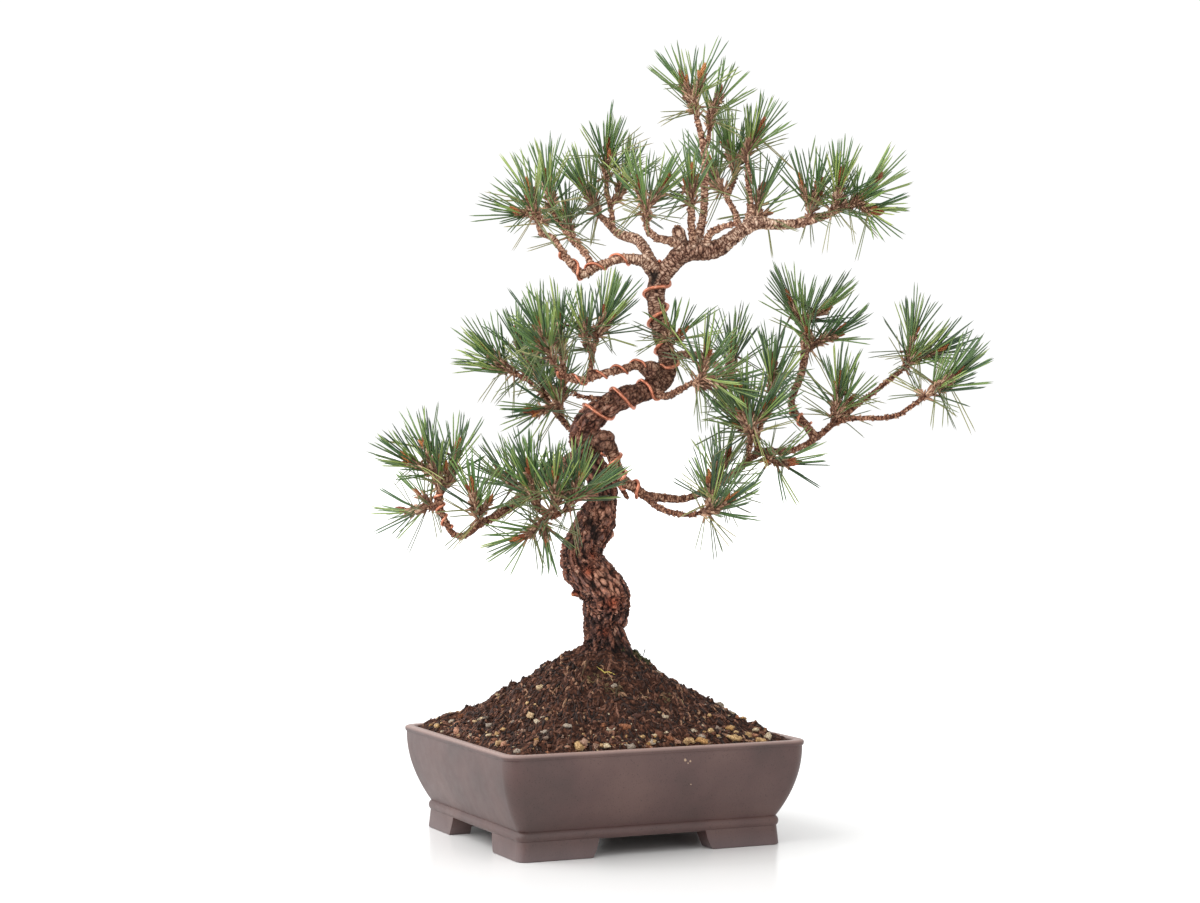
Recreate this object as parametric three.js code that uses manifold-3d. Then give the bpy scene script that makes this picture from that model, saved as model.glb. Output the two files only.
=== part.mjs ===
// A Japanese black pine bonsai in an unglazed pot on four bracket feet, about 0.7 m tall, in
// millimetres. The trunk and its branches are one piece of wood that stands in a hole in the soil
// mound. Every twig ends in a spray, which is a slim core with needles. Copper coloured wire is
// wound round the trunk and the bent branches, and a mesh screen lies over each drain hole.
//
// The tree is modelled over the middle of the pot, with +Z up and X along the pot's long side, and
// moved at the end.

import * as THREE from "three";
import { mergeVertices } from "three/addons/utils/BufferGeometryUtils.js";
import Module from "manifold-3d";

const wasm = await Module();
wasm.setup();

// Neighbouring pieces keep this gap, so that they touch without sharing space.
const GAP = 0.3;
// The soil keeps a little more, because its outline and the trunk's foot are many-sided.
const SOIL_GAP = 0.48;

// The pot. Its outside is drawn by height, and by how far it stands in from the rim.
const POT = { length: 280, width: 257, height: 91, cornerRadius: 15, cornerSharpening: 0.35 };
const POT_OUTSIDE = [
  [15.5, 21], [18, 18.4], [22, 18.2], [24.5, 19.8], [30, 16.6], [37, 12.6], [46, 8.6], [58, 5.2],
  [72, 2.8], [86, 1.2], [87.2, 0.3], [90, 0], [91, 1.4],
];
const POT_INSIDE = [[25, 32], [33, 25], [46, 18], [64, 13.4], [86, 10], [91, 8.4], [93, 8.4]];
const FOOT_OUTSIDE = [[0, 17.8], [15, 19.4], [17, 21]];
const FOOT = { height: 15.5, thickness: 20, frontGap: 99, sideGap: 92, slant: 6 };
const DRAIN = { radius: 11, spacing: 120, sides: 14 };
const SCREEN = { size: 34, thickness: 1.2, holes: 3, rib: 3 };

// The soil fills the pot and is heaped up to the trunk's foot, with pebbles in its surface.
const MOUND = {
  edge: 88.5, rise: 90, radius: 135, squaring: 3, rings: 8, crumb: 1.5, top: 0.13, cut: 0.09, seed: 11,
};
const PEBBLES = {
  count: 14, innermost: 0.3, outermost: 0.93, smallest: 2.6, largest: 4.6, sunk: 0.35, flatness: 0.8, seed: 5,
};

// The middle of the whole tree's plan, from the middle of the pot. The origin is there, on the table.
const PLAN_MIDDLE = { x: 46, y: -33 };

// How the wood, the wires and the sprays are made.
const TRUNK = {
  sides: 12, step: 13, relief: 0.08, footKnot: 3.6, splitKnot: 14, lap: 0.01,
  top: { sides: 8, step: 16, relief: 0.05 },
};
const BRANCH = { sides: 6, thinSides: 5, thinRadius: 4, step: 21, relief: 0.05 };
const TWIG = { radius: 2.1, sides: 4, step: 20 };
const CORE = { radius: 2.7, tipRadius: 2.3, sides: 4, step: 40, forkShare: 0.2 };
const NEEDLE = {
  length: 50,
  shortest: 0.82,
  radius: 0.95,
  firstRoot: 0.14,
  lastRoot: 0.96,
  baseAngle: 74,
  tipAngle: 20,
  angleJitter: 11,
  lift: 0.16,
  clearance: 0.5,
  tries: 40,
  seed: 20,
};
const GOLDEN_ANGLE = Math.PI * (3 - Math.sqrt(5));
const WIRE = { thick: 1.6, thin: 1.15, sides: 5, stepsPerTurn: 7, pushes: 20, seat: 0.95 };

const MATERIALS = {
  clay: new THREE.MeshStandardMaterial({ color: 0x5d4a48, roughness: 0.62, metalness: 0 }),
  soil: new THREE.MeshStandardMaterial({ color: 0x3a2721, roughness: 0.95, metalness: 0 }),
  bark: new THREE.MeshStandardMaterial({ color: 0x6b4a3a, roughness: 0.9, metalness: 0 }),
  needle: new THREE.MeshStandardMaterial({ color: 0x4a6a41, roughness: 0.5, metalness: 0 }),
  wire: new THREE.MeshStandardMaterial({ color: 0xc96f4c, roughness: 0.35, metalness: 0.9 }),
  plastic: new THREE.MeshStandardMaterial({ color: 0x20221f, roughness: 0.6, metalness: 0 }),
};

// The tree is drawn as a viewer sees it who stands this far from the pot's middle, with eyes at
// this height, this many degrees round from the pot's long front towards its left end. A point is
// its place across and up in the upright plane through the trunk, and how far it lies away
// beyond that plane.
const VIEWER = { distance: 2285, eyeHeight: 361, turn: THREE.MathUtils.degToRad(24.1) };

function seen([across, up, away]) {
  const spread = 1 + away / VIEWER.distance;
  const right = across * spread;
  return new THREE.Vector3(
    right * Math.cos(VIEWER.turn) + away * Math.sin(VIEWER.turn),
    away * Math.cos(VIEWER.turn) - right * Math.sin(VIEWER.turn),
    VIEWER.eyeHeight + (up - VIEWER.eyeHeight) * spread,
  );
}

// The wood, limb by limb: across, up, away, and the radius there.
const LIMBS = {
  trunk: [
    [4, 112, 0, 13], [4, 135, 0, 19], [5, 152, 0, 24], [4, 167, 0, 20.5], [2, 183, 0, 17.5],
    [5, 197, -2, 20], [6, 208, -4, 21.5], [0, 219, -5, 21], [-9, 230, -6, 20], [-17, 241, -4, 18],
    [-15, 252, 0, 18.5], [-10, 263, 3, 18], [-4, 276, 5, 17.5], [2, 293, 3, 13.5],
    [1, 309, 2, 12.5], [-5, 322, 2, 11.5], [-13, 337, 2, 11.5], [-16, 350, 0, 12],
    [-10, 364, -3, 12], [3, 375, -6, 11], [19, 384, -8, 10], [42, 391, -5, 9], [53, 398, -2, 9],
    [59, 409, 0, 8.5], [58, 425, 0, 8], [54, 440, 0, 8], [50, 462, 0, 8.5], [49, 479, 0, 8.5],
    [55, 492, -1, 8], [63, 502, -3, 8], [72, 511, -6, 9], [83, 514, -9, 9], [93, 514, -10, 9],
    [104, 516, -10, 8], [116, 525, -8, 6.5], [126, 532, -4, 6], [137, 538, 0, 6],
    [151, 537, 4, 5], [166, 537, 8, 4.5], [180, 539, 10, 4], [201, 546, 4, 3.5],
    [216, 552, 0, 2.5],
  ],
  lowLeft: [
    [-11, 339, 2, 8], [-30, 326, -14, 7], [-48, 315, -28, 6], [-63, 302, -38, 5.5],
    [-77, 290, -42, 4.5], [-91, 281, -44, 4], [-105, 274, -44, 3.5], [-121, 263, -40, 3],
    [-130, 266, -38, 3], [-135, 274, -37, 3], [-140, 285, -36, 3], [-141, 295, -35, 3.5],
    [-140, 304, -35, 3.5],
  ],
  lowLeftFront: [[-62, 304, -36, 3.5], [-55, 288, -54, 3], [-42, 280, -68, 3], [-33, 285, -72, 2.5]],
  midLeftBack: [
    [-15, 356, 0, 4], [-25, 357, 12, 3], [-34, 366, 22, 3], [-41, 375, 32, 3],
    [-48, 385, 42, 2.5], [-62, 399, 52, 2.5], [-76, 407, 58, 2.3],
  ],
  midLeft: [
    [45, 407, -4, 7], [33, 413, -22, 4], [17, 409, -32, 3.5], [3, 406, -40, 3.5],
    [-9, 402, -44, 3.5], [-19, 400, -46, 3.5], [-33, 405, -48, 3], [-41, 416, -50, 2.5],
  ],
  midLeftUp: [[-9, 403, -44, 3], [-8, 413, -45, 2.5], [-6, 425, -46, 2.5], [-4, 435, -47, 2.5]],
  midLeftLow: [[14, 381, -8, 3.5], [3, 384, -22, 2.5], [-11, 385, -34, 2], [-24, 388, -40, 2]],
  topLeft: [
    [50, 490, 0, 7], [40, 504, -4, 6], [32, 506, -7, 5], [18, 507, -12, 4], [6, 503, -16, 4],
    [-5, 499, -20, 4], [-15, 493, -24, 4.5], [-23, 500, -27, 4], [-30, 508, -29, 3.5],
    [-36, 518, -31, 3], [-43, 526, -33, 3], [-51, 529, -35, 3], [-54, 537, -35, 3],
  ],
  topLeftUp: [
    [-8, 498, -20, 3], [-10, 507, -10, 3], [-16, 515, 0, 3], [-25, 524, 6, 3],
    [-35, 538, 12, 2.5], [-42, 549, 14, 2.3],
  ],
  topBack: [
    [48, 497, 0, 6], [40, 514, 12, 5], [32, 524, 20, 5], [20, 527, 28, 4.5], [12, 532, 34, 3.5],
    [5, 539, 40, 3], [-1, 545, 44, 2.5],
  ],
  topBackUp: [[11, 531, 34, 3], [11, 543, 38, 2.5], [7, 560, 41, 2.5], [5, 576, 43, 2.3]],
  topFront: [
    [75, 514, -8, 4], [62, 522, -20, 4], [48, 526, -28, 3.5], [41, 534, -34, 3],
    [40, 541, -37, 2.5],
  ],
  topFrontShoot: [[82, 514, -12, 4], [81, 529, -22, 3.5], [80, 542, -27, 3.5], [80, 553, -28, 3.5]],
  apex: [
    [83, 516, -8, 5.5], [89, 536, -2, 4], [91, 549, 2, 3.5], [92, 580, 4, 3.5],
    [91, 602, 4, 3], [89, 614, 3, 3], [86, 626, 1, 3], [84, 634, 0, 2.5],
  ],
  apexTwig: [[90, 602, 4, 2.5], [95, 611, 10, 2.5], [96, 622, 14, 2.3]],
  rightUpper: [
    [127, 533, -4, 4], [132, 548, 6, 3.5], [131, 564, 14, 3], [130, 580, 20, 3],
    [129, 592, 24, 2.5],
  ],
  rightUpperBack: [
    [123, 530, -4, 3.5], [120, 542, 12, 3], [116, 552, 24, 3], [112, 560, 34, 2.5],
    [115, 569, 42, 2.5], [119, 579, 46, 2.3],
  ],
  rightUpperFront: [[91, 514, -10, 4], [97, 529, -24, 3.5], [109, 535, -32, 3], [122, 538, -36, 2.5]],
  lowRight: [
    [-11, 340, 0, 9], [1, 346, -14, 9], [9, 340, -20, 6.5], [13, 328, -22, 5.5],
    [18, 314, -22, 5.5], [30, 306, -22, 4.5], [40, 299, -22, 4.5], [51, 297, -22, 4],
    [62, 296, -22, 4], [75, 296, -22, 3.5], [86, 300, -22, 3.5], [100, 307, -22, 3.5],
    [113, 315, -22, 3.5], [124, 324, -22, 3.5], [134, 333, -22, 3.5], [146, 338, -18, 3.5],
    [157, 337, -10, 3.5], [170, 339, -2, 3], [180, 343, 4, 3], [191, 350, 8, 3],
    [204, 361, 12, 3], [216, 370, 14, 3], [228, 380, 16, 2.5], [240, 389, 18, 2.5],
    [251, 398, 20, 2.5], [264, 408, 22, 2.5],
  ],
  lowRightStub: [[2, 347, -12, 8.5], [4, 347, -20, 9.5], [4, 347, -31, 9]],
  lowRightFront: [
    [40, 299, -22, 3.5], [47, 291, -36, 3], [59, 285, -50, 3], [74, 282, -60, 2.5],
    [88, 283, -66, 2.3],
  ],
  farRight: [
    [205, 362, 12, 3], [218, 366, 0, 2.5], [231, 367, -12, 2.5], [247, 367, -24, 2.5],
    [261, 369, -32, 2.5], [272, 376, -36, 2.5], [283, 384, -40, 2.5],
  ],
  riser: [
    [189, 349, 7, 4], [180, 362, 16, 4], [172, 370, 24, 3.5], [168, 380, 30, 3.5],
    [171, 391, 36, 3.5], [177, 406, 44, 3.5], [180, 424, 50, 4], [179, 439, 54, 4],
  ],
  rightInner: [[138, 335, -21, 3], [138, 349, -14, 2.5], [143, 365, -6, 2.5], [148, 381, 0, 2.3]],
  rightFront: [[130, 329, -22, 3], [131, 339, -38, 2.5], [133, 348, -50, 2.5]],
  backRight: [
    [59, 414, 2, 5.5], [70, 422, 22, 4], [82, 422, 38, 3.5], [94, 419, 52, 3.5],
    [104, 411, 64, 3.5], [110, 404, 72, 3],
  ],
  frontRight: [[48, 391, -6, 4.5], [57, 386, -24, 3.5], [69, 391, -44, 3], [81, 398, -58, 2.5]],
  knob: [[48, 407, -2, 8], [45, 409, -12, 8.5], [44, 410, -21, 7]],
  topKnob: [[72, 519, -6, 6], [69, 529, -13, 6], [68, 531, -20, 5.5]],
  deadStub: [[3, 323, -4, 4], [11, 319, -13, 3], [18, 307, -14, 3], [25, 295, -13, 2]],
  trunkStub: [[-7, 210, -5, 3], [-19, 210, -12, 2], [-25, 210, -16, 2]],
};

// The wires: the limb that each is wound round, between which of its points, how many turns, and
// the part of a turn that it starts at.
const WIRES = {
  wire_trunk: { limb: "trunk", from: 17.6, to: 28.6, turns: 7.5, start: 0.1, radius: WIRE.thick },
  wire_low_right: { limb: "lowRight", from: 1.9, to: 5.6, turns: 3, start: 0.2, radius: WIRE.thick },
  wire_low_left: { limb: "lowLeft", from: 0.9, to: 2.7, turns: 2, start: 0.6, radius: WIRE.thick },
  wire_far_left: { limb: "lowLeft", from: 8.4, to: 11.6, turns: 3, start: 0.1, radius: WIRE.thin },
  wire_mid_left: { limb: "midLeft", from: 0.8, to: 6.4, turns: 4, start: 0.3, radius: WIRE.thin },
  wire_top_left: { limb: "topLeft", from: 1.8, to: 8.6, turns: 3.5, start: 0.6, radius: WIRE.thin },
  wire_riser: { limb: "riser", from: 0.8, to: 2.6, turns: 2, start: 0.2, radius: WIRE.thin },
};

// The sprays: where the twig of each leaves the wood, where its core begins, the core's tips, and
// the number of its needles.
const SPRAYS = {
  apex_left: { from: [85, 630, 0], base: [84, 641, -3], tips: [[74, 660, -10], [89, 664, 2]], needles: 17 },
  apex_right: { from: [96, 620, 14], base: [97, 630, 17], tips: [[104, 648, 22]], needles: 11 },
  upper_right: { from: [129, 590, 23], base: [129, 599, 26], tips: [[139, 616, 28]], needles: 11 },
  upper_right_left: { from: [119, 577, 46], base: [118, 586, 48], tips: [[112, 605, 52]], needles: 10 },
  upper_right_back: { from: [112, 560, 34], base: [105, 571, 46], tips: [[98, 587, 60]], needles: 8 },
  upper_right_low: { from: [137, 538, 0], base: [137, 548, 14], tips: [[142, 565, 26]], needles: 8 },
  top_right_left: {
    from: [183, 540, 9], base: [185, 548, 12],
    tips: [[178, 569, 16], [192, 567, 8]], needles: 14,
  },
  top_right_middle: { from: [201, 546, 4], base: [206, 553, -4], tips: [[211, 574, -14]], needles: 12 },
  top_right_end: {
    from: [213, 551, 1], base: [221, 555, -1],
    tips: [[239, 569, 4], [238, 547, -16]], needles: 17,
  },
  top_left_end: {
    from: [-54, 535, -35], base: [-54, 543, -36],
    tips: [[-61, 562, -34], [-70, 546, -52]], needles: 16,
  },
  top_left_up: { from: [-41, 547, 14], base: [-44, 555, 16], tips: [[-47, 574, 18]], needles: 11 },
  top_left_back: { from: [-23, 522, 5], base: [-26, 530, 18], tips: [[-30, 546, 34]], needles: 8 },
  top_back_left: { from: [0, 543, 43], base: [-4, 551, 48], tips: [[-14, 569, 52]], needles: 12 },
  top_back_up: { from: [5, 573, 43], base: [5, 581, 44], tips: [[6, 601, 44]], needles: 12 },
  top_back_right: { from: [8, 552, 39], base: [16, 561, 46], tips: [[23, 580, 56]], needles: 9 },
  top_front: {
    from: [40, 538, -36], base: [41, 547, -38],
    tips: [[35, 567, -40], [54, 568, -38]], needles: 17,
  },
  top_twig: { from: [80, 551, -28], base: [81, 559, -29], tips: [[81, 575, -32]], needles: 7 },
  mid_left_end: { from: [-73, 405, 57], base: [-80, 410, 60], tips: [[-95, 420, 62]], needles: 11 },
  mid_left_back: { from: [-62, 399, 52], base: [-64, 409, 62], tips: [[-72, 434, 76]], needles: 11 },
  mid_left_centre: { from: [-46, 383, 40], base: [-49, 393, 34], tips: [[-56, 414, 26]], needles: 11 },
  mid_left_inner: {
    from: [-34, 366, 22], base: [-35, 377, 14],
    tips: [[-32, 398, 8], [-54, 372, 4]], needles: 12,
  },
  mid_left_front: { from: [-40, 413, -50], base: [-43, 423, -52], tips: [[-52, 444, -56]], needles: 13 },
  mid_left_top: { from: [-33, 405, -48], base: [-33, 422, -38], tips: [[-37, 451, -30]], needles: 11 },
  mid_centre_left: { from: [-6, 423, -46], base: [-10, 432, -50], tips: [[-15, 451, -56]], needles: 8 },
  mid_centre_right: { from: [-4, 433, -47], base: [-2, 442, -47], tips: [[5, 459, -46]], needles: 9 },
  far_left_up: {
    from: [-140, 301, -35], base: [-143, 312, -38],
    tips: [[-153, 342, -32], [-167, 328, -54]], needles: 19,
  },
  far_left_inner: { from: [-140, 300, -35], base: [-133, 311, -28], tips: [[-125, 338, -16]], needles: 10 },
  far_left_low: { from: [-141, 292, -35], base: [-150, 289, -30], tips: [[-167, 284, -20]], needles: 7 },
  low_left_knee: { from: [-105, 274, -44], base: [-108, 282, -52], tips: [[-112, 302, -64]], needles: 9 },
  low_left_out: { from: [-60, 305, -36], base: [-68, 304, -26], tips: [[-84, 314, -12]], needles: 11 },
  low_left_up: { from: [-53, 287, -57], base: [-55, 297, -62], tips: [[-61, 319, -72]], needles: 12 },
  low_left_front: {
    from: [-34, 284, -72], base: [-26, 291, -75],
    tips: [[-20, 314, -82], [-8, 302, -68]], needles: 17,
  },
  low_left_middle: { from: [-42, 280, -68], base: [-40, 289, -78], tips: [[-40, 312, -92]], needles: 11 },
  low_left_down: { from: [-45, 281, -66], base: [-52, 274, -74], tips: [[-67, 261, -84]], needles: 8 },
  front_right: {
    from: [80, 397, -57], base: [87, 400, -63],
    tips: [[93, 422, -70], [111, 395, -68]], needles: 18,
  },
  trunk_right: { from: [56, 431, 0], base: [62, 435, -14], tips: [[72, 440, -32]], needles: 7 },
  back_right: { from: [109, 404, 71], base: [115, 408, 78], tips: [[117, 430, 86]], needles: 12 },
  middle_right: { from: [148, 380, 0], base: [150, 390, 3], tips: [[152, 413, 6]], needles: 11 },
  right_front: {
    from: [133, 346, -48], base: [134, 355, -54],
    tips: [[127, 379, -62], [146, 372, -58]], needles: 18,
  },
  right_inner: { from: [138, 348, -15], base: [132, 356, -16], tips: [[116, 372, -14]], needles: 9 },
  right_low: { from: [144, 338, -18], base: [151, 331, -26], tips: [[165, 326, -36]], needles: 6 },
  riser_top: {
    from: [179, 436, 53], base: [179, 446, 56],
    tips: [[168, 466, 62], [197, 462, 50]], needles: 18,
  },
  riser_side: { from: [179, 422, 49], base: [188, 432, 44], tips: [[207, 440, 34]], needles: 8 },
  right_rise: { from: [204, 361, 12], base: [207, 371, 8], tips: [[210, 393, 4]], needles: 12 },
  far_right_up: {
    from: [262, 406, 22], base: [270, 416, 22],
    tips: [[275, 441, 28], [295, 424, 6]], needles: 20,
  },
  far_right_end: { from: [281, 382, -39], base: [290, 390, -42], tips: [[312, 404, -44]], needles: 13 },
  low_right_end: {
    from: [86, 283, -65], base: [94, 285, -67],
    tips: [[112, 292, -72], [96, 308, -58]], needles: 17,
  },
  low_right_top: { from: [99, 307, -22], base: [104, 314, -16], tips: [[111, 330, -6]], needles: 8 },
};

// A source of random numbers from 0 to 1, the same on each run for the same seed.
function seededRandom(seed) {
  let state = seed;
  return () => {
    state = (state + 0x6d2b79f5) | 0;
    let mixed = Math.imul(state ^ (state >>> 15), 1 | state);
    mixed = (mixed + Math.imul(mixed ^ (mixed >>> 7), 61 | mixed)) ^ mixed;
    return ((mixed ^ (mixed >>> 14)) >>> 0) / 4294967296;
  };
}

function ready(geometry) {
  geometry.deleteAttribute("normal");
  geometry.deleteAttribute("uv");
  return mergeVertices(geometry);
}

// A closed body with the rows and columns of a cylinder. The function place gives each point from
// its row, counted from the bottom, and its column, which is null in the middle of an end.
function formed(columns, rows, place) {
  const geometry = new THREE.CylinderGeometry(1, 1, 1, columns, rows);
  const position = geometry.getAttribute("position");
  for (let i = 0; i < position.count; i += 1) {
    const x = position.getX(i);
    const z = position.getZ(i);
    const row = Math.round((position.getY(i) + 0.5) * rows);
    const turn = Math.atan2(x, z) / (2 * Math.PI);
    const column = (Math.round(turn * columns) + columns) % columns;
    const point = place(row, Math.hypot(x, z) < 0.5 ? null : column);
    position.setXYZ(i, point.x, point.y, point.z);
  }
  return ready(geometry);
}

function toSolid(geometry) {
  return new wasm.Manifold(
    new wasm.Mesh({
      numProp: 3,
      vertProperties: new Float32Array(geometry.getAttribute("position").array),
      triVerts: new Uint32Array(geometry.index.array),
    }),
  );
}

function toGeometry(solid) {
  const mesh = solid.getMesh();
  const geometry = new THREE.BufferGeometry();
  geometry.setAttribute("position", new THREE.BufferAttribute(mesh.vertProperties, mesh.numProp));
  geometry.setIndex(new THREE.BufferAttribute(mesh.triVerts, 1));
  geometry.computeVertexNormals();
  return geometry;
}

function joined(solids) {
  return solids.reduce((whole, solid) => whole.add(solid));
}

function between(list, place) {
  const index = Math.min(Math.floor(place), list.length - 2);
  return THREE.MathUtils.lerp(list[index], list[index + 1], place - index);
}

// A smooth path with a radius at each of its points.
class Path {
  constructor(points, radii) {
    this.curve = new THREE.CatmullRomCurve3(points, false, "centripetal");
    this.curve.arcLengthDivisions = 40 * points.length;
    this.radii = radii;
  }

  // How much of the whole length lies before one of the points, or before a place between two.
  shareAt(knot) {
    const lengths = this.curve.getLengths();
    return between(lengths, (knot / (this.radii.length - 1)) * (lengths.length - 1)) / lengths.at(-1);
  }

  radiusAt(share) {
    return between(this.radii, this.curve.getUtoTmapping(share) * (this.radii.length - 1));
  }

  // Shares of the length, from one to another, a step or so apart.
  steps(step, first, last) {
    return evenly(first, last, Math.max(1, Math.round((this.curve.getLength() * (last - first)) / step)));
  }

  // Cross sections at the given shares of the length, each turned as little as can be from the
  // one before.
  sections(shares) {
    const list = [];
    let normal = null;
    for (const share of shares) {
      const tangent = this.curve.getTangentAt(share);
      normal ??= new THREE.Vector3(tangent.z, tangent.x, tangent.y).cross(tangent);
      normal = normal.clone().addScaledVector(tangent, -normal.dot(tangent)).normalize();
      const binormal = tangent.clone().cross(normal);
      list.push({ centre: this.curve.getPointAt(share), radius: this.radiusAt(share), normal, binormal });
    }
    return list;
  }
}

function evenly(first, last, count) {
  const share = (i) => THREE.MathUtils.clamp(THREE.MathUtils.lerp(first, last, i / count), 0, 1);
  return Array.from({ length: count + 1 }, (_, i) => share(i));
}

function limbPath(points) {
  return new Path(points.map(seen), points.map((point) => point[3]));
}

function around(section, turn, radius) {
  return section.centre
    .clone()
    .addScaledVector(section.normal, Math.cos(turn) * radius)
    .addScaledVector(section.binormal, Math.sin(turn) * radius);
}

// A tube along a path. Its relief is the share of the radius by which its skin rises and falls.
function tube({ path, sides, step, relief = 0, first = 0, last = 1, spare = 0, seed = 1, shares }) {
  const sections = path.sections(shares ?? path.steps(step, first, last));
  const random = seededRandom(seed);
  const skin = sections.map(() => Array.from({ length: sides }, () => 1 + relief * (2 * random() - 1)));
  return formed(sides, sections.length - 1, (row, column) => {
    const section = sections[row];
    if (column === null) {
      return section.centre;
    }
    return around(section, (2 * Math.PI * column) / sides, section.radius * skin[row][column] + spare);
  });
}

// The capsules that a tube fills, for keeping other things clear of it. Each row of the tube gets
// a few, as it tapers.
function capsules({ path, step, relief = 0, first = 0, last = 1 }, owner) {
  const sections = path.sections(path.steps(step, first, last));
  const parts = 4;
  return sections.slice(1).flatMap((section, i) =>
    evenly(0, 1, parts).slice(1).map((share) => {
      const { centre, radius } = sections[i];
      const radii = [share - 1 / parts, share].map((at) => THREE.MathUtils.lerp(radius, section.radius, at));
      return {
        start: centre.clone().lerp(section.centre, share - 1 / parts),
        end: centre.clone().lerp(section.centre, share),
        radius: Math.max(...radii) * (1 + relief),
        owner,
      };
    }),
  );
}

// The nearest points of two straight stretches, and how far apart they are.
function nearest(a, b, c, d) {
  const first = b.clone().sub(a);
  const second = d.clone().sub(c);
  const offset = a.clone().sub(c);
  const dotFirst = first.dot(first);
  const dotSecond = second.dot(second);
  const dotBoth = first.dot(second);
  const alongFirst = first.dot(offset);
  const alongSecond = second.dot(offset);
  const spread = dotFirst * dotSecond - dotBoth * dotBoth;
  const { clamp } = THREE.MathUtils;
  let s = spread > 1e-9 ? clamp((dotBoth * alongSecond - alongFirst * dotSecond) / spread, 0, 1) : 0;
  const t = clamp((dotBoth * s + alongSecond) / Math.max(dotSecond, 1e-9), 0, 1);
  s = clamp((dotBoth * t - alongFirst) / Math.max(dotFirst, 1e-9), 0, 1);
  const onFirst = a.clone().addScaledVector(first, s);
  const onSecond = c.clone().addScaledVector(second, t);
  return { onFirst, onSecond, distance: onFirst.distanceTo(onSecond) };
}

// The outline of a rectangle with round corners, counter-clockwise, with an even number of points
// on each corner and on each side.
function outline(length, width, radius, cornerPoints, sidePoints) {
  const points = [];
  const corners = [[1, -1], [1, 1], [-1, 1], [-1, -1]];
  corners.forEach(([signX, signY], i) => {
    const x = signX * (length / 2 - radius);
    const y = signY * (width / 2 - radius);
    for (let k = 0; k < cornerPoints; k += 1) {
      const turn = (Math.PI / 2) * (i - 1 + k / (cornerPoints - 1));
      points.push(new THREE.Vector2(x + radius * Math.cos(turn), y + radius * Math.sin(turn)));
    }
    const [nextX, nextY] = corners[(i + 1) % corners.length];
    const turn = (Math.PI / 2) * i;
    const next = new THREE.Vector2(
      nextX * (length / 2 - radius) + radius * Math.cos(turn),
      nextY * (width / 2 - radius) + radius * Math.sin(turn),
    );
    const start = points.at(-1);
    for (let k = 1; k <= sidePoints; k += 1) {
      points.push(start.clone().lerp(next, k / (sidePoints + 1)));
    }
  });
  return points;
}

function potOutline(inset, cornerPoints, sidePoints) {
  const radius = POT.cornerRadius - POT.cornerSharpening * inset;
  return outline(POT.length - 2 * inset, POT.width - 2 * inset, radius, cornerPoints, sidePoints);
}

// A body whose cross section is the pot's outline, from a list of heights and insets.
function potForm(profile, cornerPoints) {
  const rings = profile.map(([, inset]) => potOutline(inset, cornerPoints, 0));
  return formed(rings[0].length, profile.length - 1, (row, column) => {
    const point = column === null ? { x: 0, y: 0 } : rings[row][column];
    return new THREE.Vector3(point.x, point.y, profile[row][0]);
  });
}

function block(sizeX, sizeY, bottom, top, x = 0, y = 0) {
  const geometry = new THREE.BoxGeometry(sizeX, sizeY, top - bottom);
  return toSolid(ready(geometry.translate(x, y, (top + bottom) / 2)));
}

// The passage between two feet: wider at the table than at its top, right through the pot's foot.
function passage(topWidth, throughLength) {
  const low = topWidth / 2 + FOOT.slant;
  const shape = new THREE.Shape([
    new THREE.Vector2(-low, -1),
    new THREE.Vector2(low, -1),
    new THREE.Vector2(topWidth / 2, FOOT.height),
    new THREE.Vector2(-topWidth / 2, FOOT.height),
  ]);
  const geometry = new THREE.ExtrudeGeometry(shape, { depth: throughLength, bevelEnabled: false });
  return geometry.rotateX(Math.PI / 2).translate(0, throughLength / 2, 0);
}

function makePot() {
  const cornerPoints = 4;
  const footInset = FOOT_OUTSIDE[0][1] + FOOT.thickness;
  const hollow = toSolid(potForm(POT_INSIDE, cornerPoints));
  const bowl = toSolid(potForm(POT_OUTSIDE, cornerPoints)).subtract(hollow);
  const betweenFeet = block(POT.length - 2 * footInset, POT.width - 2 * footInset, -1, FOOT.height);
  const frontPassage = toSolid(ready(passage(FOOT.frontGap, POT.length)));
  const sidePassage = toSolid(ready(passage(FOOT.sideGap, POT.length).rotateZ(Math.PI / 2)));
  const feet = toSolid(potForm(FOOT_OUTSIDE, cornerPoints))
    .subtract(betweenFeet)
    .subtract(frontPassage)
    .subtract(sidePassage);
  const drains = [-1, 1].map((side) => {
    const geometry = new THREE.CylinderGeometry(DRAIN.radius, DRAIN.radius, 40, DRAIN.sides);
    return toSolid(ready(geometry.rotateX(Math.PI / 2).translate((side * DRAIN.spacing) / 2, 0, 20)));
  });
  return drains.reduce((pot, drain) => pot.subtract(drain), bowl.add(feet));
}

function makeScreen(side) {
  const middle = (side * DRAIN.spacing) / 2;
  const bottom = POT_INSIDE[0][0] + GAP;
  const pitch = (SCREEN.size - SCREEN.rib) / SCREEN.holes;
  let screen = block(SCREEN.size, SCREEN.size, bottom, bottom + SCREEN.thickness, middle);
  for (let i = 0; i < SCREEN.holes ** 2; i += 1) {
    const x = ((i % SCREEN.holes) - (SCREEN.holes - 1) / 2) * pitch;
    const y = (Math.floor(i / SCREEN.holes) - (SCREEN.holes - 1) / 2) * pitch;
    const size = pitch - SCREEN.rib;
    screen = screen.subtract(block(size, size, bottom - 1, bottom + SCREEN.thickness + 1, middle + x, y));
  }
  return screen;
}

function moundHeight(share) {
  return MOUND.edge + MOUND.rise * (1 - Math.max(share, MOUND.top));
}

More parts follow.
